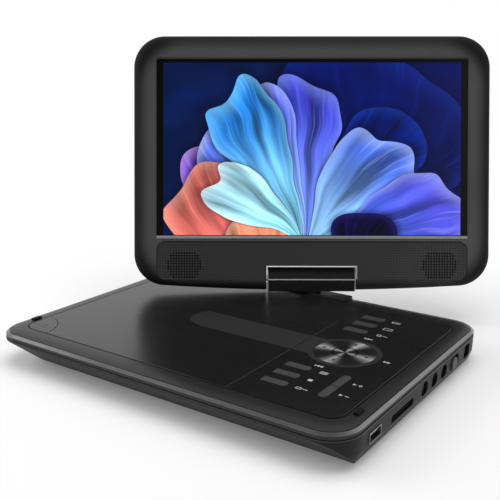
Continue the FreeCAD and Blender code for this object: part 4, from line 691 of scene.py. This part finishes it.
def makeDeckMarks():
    # plain printed signs beside the keys: bars, triangles, squares, plus and minus
    shape = bmesh.new()
    low, high = marks["top"] - marks["sunk"], marks["top"] + marks["thickness"]
    # where each sign stands, and its outlines about that place
    signs = (
        (83, 63, [bar(1.2, 2.4, -2), bar(4, 0.6, 1.2, 0.9), bar(4, 0.6, 1.2, -0.9)]),
        (84, 48.6, [bar(6, 0.5, 0, 1.6), bar(6, 0.5, 0, -1.6), bar(0.5, 3.2, -2.9), bar(0.5, 3.2, 2.9)]),
        (84, 35.4, ring(1.7, 1.1, 12) + [bar(3, 0.6, 4)]),
        (79.3, 26, [triangle(1.4), turned(triangle(1.4), 0, 2.2, 0), bar(0.5, 2.2, 4)]),
        (105.6, -2, [triangle(1.4), turned(triangle(1.4), 0, 2.2, 0)]),
        (78.3, -29.2, [turned(triangle(1.4), 180, 0, 0), turned(triangle(1.4), 180, -2.2, 0),
                       bar(0.5, 2.2, -4)]),
        (84, -36.4, [bar(5, 0.55, 0, 1.3), bar(5, 0.55), bar(5, 0.55, 0, -1.3)]),
        (82.5, -49, [bar(2.6, 2.6)]),
        (82.5, -61.4, [bar(3, 0.5, 0, 1.1), bar(3, 0.5, 0, -1.1), bar(0.5, 2.6, -1.5), bar(0.5, 2.6, 1.5),
                       bar(3, 0.6, 4)]),
        (105.4, -40.2, [triangle(1.3), bar(2.4, 0.6, 3.6), bar(0.6, 2.4, 3.6)]),
        (105.4, -56.2, [triangle(1.3), bar(2.4, 0.6, 3.6)]),
    )
    for x, y, outlines in signs:
        for outline in outlines:
            slab(shape, [(x + a, y + c) for a, c in outline], low, high)
    return finished(meshPiece("deckMarks", shape), "base", "key_satin", "markWhite")


def makeDialMarks():
    shape = bmesh.new()
    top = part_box("nav_pad")[1].z / mm
    for number in range(4):
        angle = 90 * number
        place = circlePoint(marks["arrowRadius"], math.radians(angle), deck["dialX"], deck["dialY"])
        arrow = turned(triangle(marks["arrow"]), angle, *place)
        slab(shape, arrow, top - marks["dialSunk"], top + marks["dialThickness"])
    return finished(meshPiece("dialMarks", shape), "nav_pad", "socket_plastic", "markBlack")


def makeOpenMark():
    shape = bmesh.new()
    low, high = deck["height"] - marks["openSunk"], deck["height"] + marks["thickness"]
    slab(shape, turned(triangle(marks["openArrow"]), 90, marks["openX"], marks["openArrowY"]), low, high)
    slab(shape, bar(*marks["openBar"], marks["openX"], marks["openBarY"]), low, high)
    return finished(meshPiece("openMark", shape), "open_button", "key_satin", "markBlack")


makeDeckMarks()
makeDialMarks()
makeOpenMark()
print("marks made")


# small metal details: crosses in the screw heads, black as painted shade of their recesses, contacts in the
# USB slot, rings in the round sockets

small = {"crossLength": 2.8, "crossWidth": 0.6, "relief": 0.05, "sunk": 0.02, "baseScrewLevel": 3.0,
         "baseScrews": ((-102, -62), (-102, 62), (8, -72), (8, 72), (50, -72), (50, 72)),
         "screenScrewX": 125.0, "screenScrewLevels": (22, 85, 150), "screenHeadFace": 6.9,
         "contactLevel": 11.5, "contactSunk": 0.08,
         "contactY": -64.5, "contactPlaces": (-3.5, -1.2, 1.2, 3.5), "contactFrom": 120.5, "contactTo": 128.2,
         "contactWidth": 1.1, "ringX": 128.0, "ringOuter": 2.6, "ringInner": 1.85, "ringY": (0.7, 15.7, 30.7),
         "ringZ": 11.4}
frontTurn = Matrix.Rotation(math.radians(90), 4, "X")
backTurn = Matrix.Rotation(math.radians(180), 4, "Z") @ Matrix.Rotation(math.radians(90), 4, "X")
sideTurn = Matrix.Rotation(math.radians(90), 4, "Y")


def flatPiece(name, outlines, low, high, body, slot, material, matrix=None):
    shape = bmesh.new()
    for outline in outlines:
        slab(shape, outline, low, high)
    return finished(meshPiece(name, shape, matrix), body, slot, material)


def cross(x, y):
    s = small
    return [bar(s["crossLength"], s["crossWidth"], x, y), bar(s["crossWidth"], s["crossLength"], x, y)]


def makeSmallDetails():
    s = small
    outlines = [outline for x, y in s["baseScrews"] for outline in cross(x, y)]
    level = s["baseScrewLevel"]
    flatPiece("baseScrewCrosses", outlines, level - s["relief"], level + s["sunk"], "base", "rubber_black",
              "holeShadeBlack")
    outlines = [outline for x in (-s["screenScrewX"], s["screenScrewX"]) for z in s["screenScrewLevels"]
                for outline in cross(x, z)]
    level = s["screenHeadFace"]
    flatPiece("screenScrewCrosses", outlines, level - s["sunk"], level + s["relief"], "screen",
              "rubber_black", "holeShadeBlack", screenPlace @ backTurn)
    middle = (s["contactFrom"] + s["contactTo"]) / 2
    length = s["contactTo"] - s["contactFrom"]
    outlines = [bar(length, s["contactWidth"], middle, s["contactY"] + across)
                for across in s["contactPlaces"]]
    level = s["contactLevel"]
    flatPiece("usbContacts", outlines, level - s["contactSunk"], level + s["sunk"], "base", "steel", "gold")
    outlines = [[(x - s["ringZ"], y + place) for x, y in part] for place in s["ringY"]
                for part in ring(s["ringOuter"], s["ringInner"])]
    level = s["ringX"]
    flatPiece("jackRings", outlines, level - s["sunk"], level + s["relief"], "base", "steel", "gold",
              sideTurn)


makeSmallDetails()
print("small details made")


# slots of the vents under the base and on the back of the screen, and the lines of the battery lid: flat
# black marks of painted shade for the dark of the slots and the lid's gap

vents = {"length": 15.0, "width": 1.4, "pitch": 3.4, "count": 11, "relief": 0.06, "sunk": 0.01,
         "baseLevel": 2.0, "basePlaces": ((86, -34, 0), (86, 26, 0), (-34, 0, 90)), "backFace": 8.5,
         "backPlaces": ((-64, 30, 0), (64, 30, 0), (0, 128, 90))}
underside = {"lidWidth": 44, "lidDepth": 104, "lidX": -82, "lidY": 0, "line": 0.5, "grip": (17.6, 1.2),
             "gripInset": 7, "labelWidth": 46, "labelDepth": 30, "labelX": 22, "labelY": 42, "relief": 0.04}


def thickened(b, curves, given):
    # closed curves made into a flat solid in its material, as the last steps of a tree
    fill = b.after("GeometryNodeFillCurve", curves)
    thick = b.after("GeometryNodeExtrudeMesh", fill.outputs[0], mode="FACES")
    b.feed(thick.inputs["Offset Scale"], given["Thickness"])
    thick.inputs["Individual"].default_value = False
    back = b.after("GeometryNodeFlipFaces", fill.outputs[0])
    both = b.after("GeometryNodeJoinGeometry", back.outputs[0])
    b.feed(both.inputs[0], thick.outputs[0])
    merged = b.after("GeometryNodeMergeByDistance", both.outputs[0])
    merged.inputs["Distance"].default_value = 0.01 * mm
    last = b.after("GeometryNodeRealizeInstances", merged.outputs[0])
    paint = b.after("GeometryNodeSetMaterial", last.outputs[0])
    b.feed(paint.inputs["Material"], given["Material"])
    b.feed(b.put("NodeGroupOutput").inputs[0], paint.outputs[0])


def makeSlotTree():
    tree = bpy.data.node_groups.new("slotRow", "GeometryNodeTree")
    newSocket(tree, "Geometry", "Geometry")
    for name in ("Length", "Width", "Pitch", "Thickness"):
        newSocket(tree, name, "Float")
    newSocket(tree, "Count", "Int")
    newSocket(tree, "Material", "Material")
    newSocket(tree, "Geometry", "Geometry", out=True)
    b = Builder(tree)
    given = b.put("NodeGroupInput").outputs
    slot = b.put("GeometryNodeCurvePrimitiveQuadrilateral")
    b.feed(slot.inputs["Width"], given["Width"])
    b.feed(slot.inputs["Height"], given["Length"])
    rounded = b.after("GeometryNodeFilletCurve", slot.outputs[0], mode="POLY")
    b.feed(rounded.inputs["Radius"], b.math("MULTIPLY", given["Width"], 0.49))
    rounded.inputs["Count"].default_value = 4
    row = b.put("GeometryNodeMeshLine", mode="OFFSET")
    b.feed(row.inputs["Count"], given["Count"])
    b.feed(row.inputs["Offset"], b.vector(given["Pitch"], 0.0))
    whole = b.math("MULTIPLY", given["Pitch"], b.math("SUBTRACT", given["Count"], 1.0))
    half = b.math("MULTIPLY", whole, -0.5)
    b.feed(row.inputs["Start Location"], b.vector(half, 0.0))
    slots = b.after("GeometryNodeInstanceOnPoints", row.outputs[0])
    b.feed(slots.inputs["Instance"], rounded.outputs[0])
    real = b.after("GeometryNodeRealizeInstances", slots.outputs[0])
    thickened(b, real.outputs[0], given)
    return tree


def grown(thing, tree, values, name):
    # what a tree makes of an object, as a plain mesh object; values go by the names of the tree's inputs
    bpy.context.scene.collection.objects.link(thing)
    modifier = thing.modifiers.new("pattern", "NODES")
    modifier.node_group = tree
    for item in tree.interface.items_tree:
        if item.item_type == "SOCKET" and item.in_out == "INPUT" and item.name in values:
            modifier[item.identifier] = values[item.name]
    bpy.context.view_layer.update()
    depsgraph = bpy.context.evaluated_depsgraph_get()
    mesh = bpy.data.meshes.new_from_object(thing.evaluated_get(depsgraph), depsgraph=depsgraph)
    bpy.data.objects.remove(thing)
    mesh.name = name
    return bpy.data.objects.new(name, mesh)


def makeVents(name, tree, places, matrix, body):
    # one mesh of several rows, each turned and moved to its place
    v = vents
    shape = bmesh.new()
    values = {"Length": v["length"] * mm, "Width": v["width"] * mm, "Pitch": v["pitch"] * mm,
              "Thickness": v["relief"] * mm, "Count": v["count"], "Material": materials["holeShadeBlack"]}
    for x, y, degrees in places:
        start = bpy.data.objects.new(name + "Start", bpy.data.meshes.new(name + "Start"))
        row = grown(start, tree, values, name + "Row")
        turn = Matrix.Rotation(math.radians(degrees), 4, "Z")
        row.data.transform(Matrix.Translation((x * mm, y * mm, 0)) @ turn)
        shape.from_mesh(row.data)
        bpy.data.objects.remove(row)
    return finished(meshPiece(name, shape, matrix), body, "rubber_black", "holeShadeBlack")


def frameLines(width, depth, x, y, line):
    return [bar(width, line, x, y - depth / 2), bar(width, line, x, y + depth / 2),
            bar(line, depth, x - width / 2, y), bar(line, depth, x + width / 2, y)]


def makeUnderside():
    v, u = vents, underside
    tree = makeSlotTree()
    under = Matrix.Translation((0, 0, (v["baseLevel"] - v["relief"] + v["sunk"]) * mm))
    makeVents("baseVents", tree, v["basePlaces"], under, "base")
    behind = screenPlace @ Matrix.Translation((0, v["backFace"] * mm, 0)) @ backTurn
    makeVents("backVents", tree, v["backPlaces"], behind, "screen")
    low, high = v["baseLevel"] - u["relief"], v["baseLevel"] + v["sunk"]
    lines = frameLines(u["lidWidth"], u["lidDepth"], u["lidX"], u["lidY"], u["line"])
    lines.append(bar(*u["grip"], u["lidX"], u["lidY"] - u["lidDepth"] / 2 + u["gripInset"]))
    flatPiece("batteryLidLines", lines, low, high, "base", "rubber_black", "holeShadeBlack")
    label = bar(u["labelWidth"], u["labelDepth"], u["labelX"], u["labelY"])
    flatPiece("blankLabel", [label], low, high, "base", "housing_grey", "labelGrey")


makeUnderside()
print("vents and underside details made")


# the speaker strip, with its two round fields of holes

grille = {"halfWidth": 115.9, "low": -1.3, "high": 27.8, "corner": 6.9, "notch": 34.0, "notchTop": 9.5,
          "front": 8.85, "thick": 0.6, "holeRadius": 0.76, "pitch": 2.0, "columns": 13, "rows": 10,
          "fieldX": 95.2, "fieldZ": 9.8, "fieldRadius": 12.5, "sides": 8, "cornerSteps": 8,
          "clothRadius": 13.8, "clothFace": 8.2, "clothThick": 0.15, "clothSides": 48, "clothInset": 0.3}


def grilleOutline():
    # the strip's outline in the screen's directions, with the notch for the hinge in its lower edge
    g = grille
    points = []
    right, low, high = g["halfWidth"] - g["corner"], g["low"] + g["corner"], g["high"] - g["corner"]
    for x, z, start in ((right, low, -90), (right, high, 0), (-right, high, 90), (-right, low, 180)):
        for step in range(g["cornerSteps"] + 1):
            angle = math.radians(start + 90 * step / g["cornerSteps"])
            points.append(circlePoint(g["corner"], angle, x, z))
    side, top, bottom = g["notch"], g["notchTop"], g["low"]
    return points + [(-side, bottom), (-side, top), (side, top), (side, bottom)]


def makeGrilleTree():
    tree = bpy.data.node_groups.new("perforatedPlate", "GeometryNodeTree")
    newSocket(tree, "Geometry", "Geometry")
    for name in ("Hole radius", "Pitch", "Field radius", "Field X", "Field Z", "Thickness"):
        newSocket(tree, name, "Float")
    for name in ("Columns", "Rows", "Sides"):
        newSocket(tree, name, "Int")
    newSocket(tree, "Material", "Material")
    newSocket(tree, "Geometry", "Geometry", out=True)
    b = Builder(tree)
    given = b.put("NodeGroupInput").outputs
    # one hole at each grid point that lies inside the round field
    grid = b.put("GeometryNodeMeshGrid")
    for name, count in (("Vertices X", "Columns"), ("Vertices Y", "Rows")):
        b.feed(grid.inputs[name], given[count])
    for name, count in (("Size X", "Columns"), ("Size Y", "Rows")):
        b.feed(grid.inputs[name], b.math("MULTIPLY", b.math("SUBTRACT", given[count], 1.0), given["Pitch"]))
    position = b.put("GeometryNodeInputPosition").outputs[0]
    reach = b.after("ShaderNodeVectorMath", position, operation="LENGTH").outputs["Value"]
    outside = b.after("FunctionNodeCompare", reach, data_type="FLOAT", operation="GREATER_THAN")
    b.feed(outside.inputs[1], given["Field radius"])
    kept = b.after("GeometryNodeDeleteGeometry", grid.outputs["Mesh"], domain="POINT")
    b.feed(kept.inputs["Selection"], outside.outputs[0])
    hole = b.put("GeometryNodeCurvePrimitiveCircle")
    b.feed(hole.inputs["Resolution"], given["Sides"])
    b.feed(hole.inputs["Radius"], given["Hole radius"])
    holes = b.after("GeometryNodeInstanceOnPoints", kept.outputs[0])
    b.feed(holes.inputs["Instance"], hole.outputs[0])
    real = b.after("GeometryNodeRealizeInstances", holes.outputs[0])
    join = b.after("GeometryNodeJoinGeometry", given["Geometry"])
    for side in (1.0, -1.0):
        moved = b.after("GeometryNodeTransform", real.outputs[0])
        across = b.math("MULTIPLY", given["Field X"], side)
        b.feed(moved.inputs["Translation"], b.vector(across, given["Field Z"]))
        b.feed(join.inputs[0], moved.outputs[0])
    thickened(b, join.outputs[0], given)
    return tree


def makeGrille():
    g = grille
    outline = grilleOutline()
    curve = bpy.data.curves.new("grilleOutline", "CURVE")
    curve.dimensions = "3D"
    spline = curve.splines.new("POLY")
    spline.points.add(len(outline) - 1)
    for point, (x, z) in zip(spline.points, outline):
        point.co = (x * mm, z * mm, 0, 1)
    spline.use_cyclic_u = True
    thing = bpy.data.objects.new("grilleOutline", curve)
    values = {"Hole radius": g["holeRadius"] * mm, "Pitch": g["pitch"] * mm,
              "Field radius": g["fieldRadius"] * mm, "Field X": g["fieldX"] * mm, "Field Z": g["fieldZ"] * mm,
              "Thickness": g["thick"] * mm, "Columns": g["columns"], "Rows": g["rows"], "Sides": g["sides"],
              "Material": materials["dimpledStrip"]}
    piece = grown(thing, makeGrilleTree(), values, "speakerGrille")
    # from the flat plate to the front of the leaning screen
    upright = Matrix.Translation((0, -(g["front"] - g["thick"]) * mm, 0)) @ frontTurn
    piece.data.transform(screenPlace @ upright)
    return finished(piece, "screen", "strip_satin", "dimpledStrip", "speaker_strip")


def makeSpeakerCloth():
    # black cloth behind the holes, which hides the cones
    g = grille
    outlines = []
    angles = [2 * math.pi * number / g["clothSides"] for number in range(g["clothSides"])]
    for side in (-1, 1):
        disc = [circlePoint(g["clothRadius"], angle, g["fieldX"] * side, g["fieldZ"]) for angle in angles]
        outlines.append([(x, max(z, g["low"] + g["clothInset"])) for x, z in disc])
    return flatPiece("speakerCloth", outlines, g["clothFace"] - g["clothThick"], g["clothFace"], "screen",
                     "speaker_black", "coneBlack", screenPlace @ frontTurn)


makeGrille()
makeSpeakerCloth()
print("speaker grille made")


# the pale ledge under the picture: its pale grey is a painted highlight, the light caught on the window's
# lower bevel

# its profile goes round (forward, up) points
ledge = {"half": 115.9, "profile": ((9.35, 29.5), (9.35, 30.5), (8.7, 31.75), (7.8, 31.75), (7.8, 29.5)),
         "edge": 0.2}


def makeLedge():
    shape = bmesh.new()
    ends = [[shape.verts.new((x * mm, -forward * mm, up * mm)) for forward, up in ledge["profile"]]
            for x in (-ledge["half"], ledge["half"])]
    shape.faces.new(ends[0])
    shape.faces.new(ends[1][::-1])
    count = len(ledge["profile"])
    for number in range(count):
        after = (number + 1) % count
        shape.faces.new((ends[0][number], ends[1][number], ends[1][after], ends[0][after]))
    long = [edge for edge in shape.edges if abs(edge.verts[0].co.x - edge.verts[1].co.x) > ledge["half"] * mm]
    bmesh.ops.bevel(shape, geom=long[1:3], offset=ledge["edge"] * mm, segments=2, affect="EDGES")
    # pale grey as a painted highlight on the lower edge of the window
    return finished(meshPiece("windowLedge", shape, screenPlace), "screen", "bezel_grey", "sillHighlightGrey")


makeLedge()
print("window ledge made")


# floor, light and camera

stage = {"floorSize": 6.0, "floorTone": 0.93, "whiteFrom": 190.0, "whiteTo": 400.0, "lift": 0.12,
         "below": 0.2, "floorRough": 0.9, "skyLight": 0.45, "roomDark": 0.08,
         "brightSide": (-0.3, 0.94, 0.15), "brightFrom": 0.0, "brightTo": 0.75}
# place, aim, size and power of each lamp, and whether it shows in glossy faces
lamps = {
    "topLight": ((0.1, 0.1, 1.4), (0, 0, 0), 1.2, 9, False),
    "leftLight": ((-1.1, -0.5, 0.7), (0, 0, 0.05), 0.7, 5, True),
    "rightLight": ((1.0, -0.3, 0.5), (0.05, 0, 0.02), 0.5, 0.7, True),
}
eye = {"place": (276.9, -386.3, 198.1), "turn": 34.88, "down": 14.53, "lens": 54.48, "sensor": 36,
       "near": 0.01}


def makeFloor():
    bpy.ops.mesh.primitive_plane_add(size=stage["floorSize"], location=(0, 0, -stage["below"] * mm))
    floor = bpy.context.object
    floor.name = "floor"
    material, b, shader = newMaterial("paperFloor")
    x, y, _ = b.split(b.onBase())
    away = b.steps(b.length(x, y), stage["whiteFrom"], stage["whiteTo"])
    tone = stage["floorTone"]
    b.feed(shader.inputs["Base Color"], b.mix(away, (tone, tone, tone, 1), (0, 0, 0, 1)))
    shader.inputs["Roughness"].default_value = stage["floorRough"]
    shader.inputs["Specular IOR Level"].default_value = 0.0
    lightPath = b.put("ShaderNodeLightPath")
    seen = b.math("MAXIMUM", lightPath.outputs["Is Camera Ray"], lightPath.outputs["Is Glossy Ray"])
    glow = b.math("MULTIPLY", seen, b.span(away, 0.0, 1.0, stage["lift"], 1.0))
    shader.inputs["Emission Color"].default_value = (1, 1, 1, 1)
    b.feed(shader.inputs["Emission Strength"], glow)
    floor.data.materials.append(material)


def makeWorld():
    # plain white to the eye; in glossy faces bright towards one side and dark elsewhere
    world = bpy.data.worlds.new("studio")
    bpy.context.scene.world = world
    world.use_nodes = True
    b = Builder(world.node_tree)
    sky = world.node_tree.nodes["Background"]
    sky.inputs["Color"].default_value = (1, 1, 1, 1)
    facing = b.put("ShaderNodeVectorMath", operation="DOT_PRODUCT")
    b.feed(facing.inputs[0], b.put("ShaderNodeTexCoord").outputs["Generated"])
    facing.inputs[1].default_value = stage["brightSide"]
    behind = b.steps(facing.outputs["Value"], stage["brightFrom"], stage["brightTo"])
    lightPath = b.put("ShaderNodeLightPath")
    plain = b.span(lightPath.outputs["Is Camera Ray"], 0.0, 1.0, stage["skyLight"], 1.0)
    mirrored = b.math("MAXIMUM", lightPath.outputs["Is Glossy Ray"], lightPath.outputs["Is Transmission Ray"])
    room = b.span(behind, 0.0, 1.0, stage["roomDark"], 1.0)
    strength = b.math("ADD", b.math("MULTIPLY", plain, b.math("SUBTRACT", 1.0, mirrored)),
                      b.math("MULTIPLY", room, mirrored))
    b.feed(sky.inputs["Strength"], strength)


def makeLamp(name, place, target, size, power, mirrored):
    light = bpy.data.lights.new(name, "AREA")
    light.energy = power
    light.size = size
    thing = bpy.data.objects.new(name, light)
    bpy.context.scene.collection.objects.link(thing)
    thing.location = place
    thing.visible_glossy = mirrored
    thing.rotation_euler = (Vector(target) - Vector(place)).to_track_quat("-Z", "Y").to_euler()


def makeCamera():
    data = bpy.data.cameras.new("camera")
    data.lens = eye["lens"]
    data.sensor_width = eye["sensor"]
    data.clip_start = eye["near"]
    camera = bpy.data.objects.new("camera", data)
    bpy.context.scene.collection.objects.link(camera)
    camera.location = Vector(eye["place"]) * mm
    camera.rotation_euler = (math.radians(90 - eye["down"]), 0, math.radians(eye["turn"]))
    bpy.context.scene.camera = camera


makeFloor()
makeWorld()
for name, values in lamps.items():
    makeLamp(name, *values)
makeCamera()
bpy.context.scene.view_settings.view_transform = "Standard"
print("stage, lights and camera made")
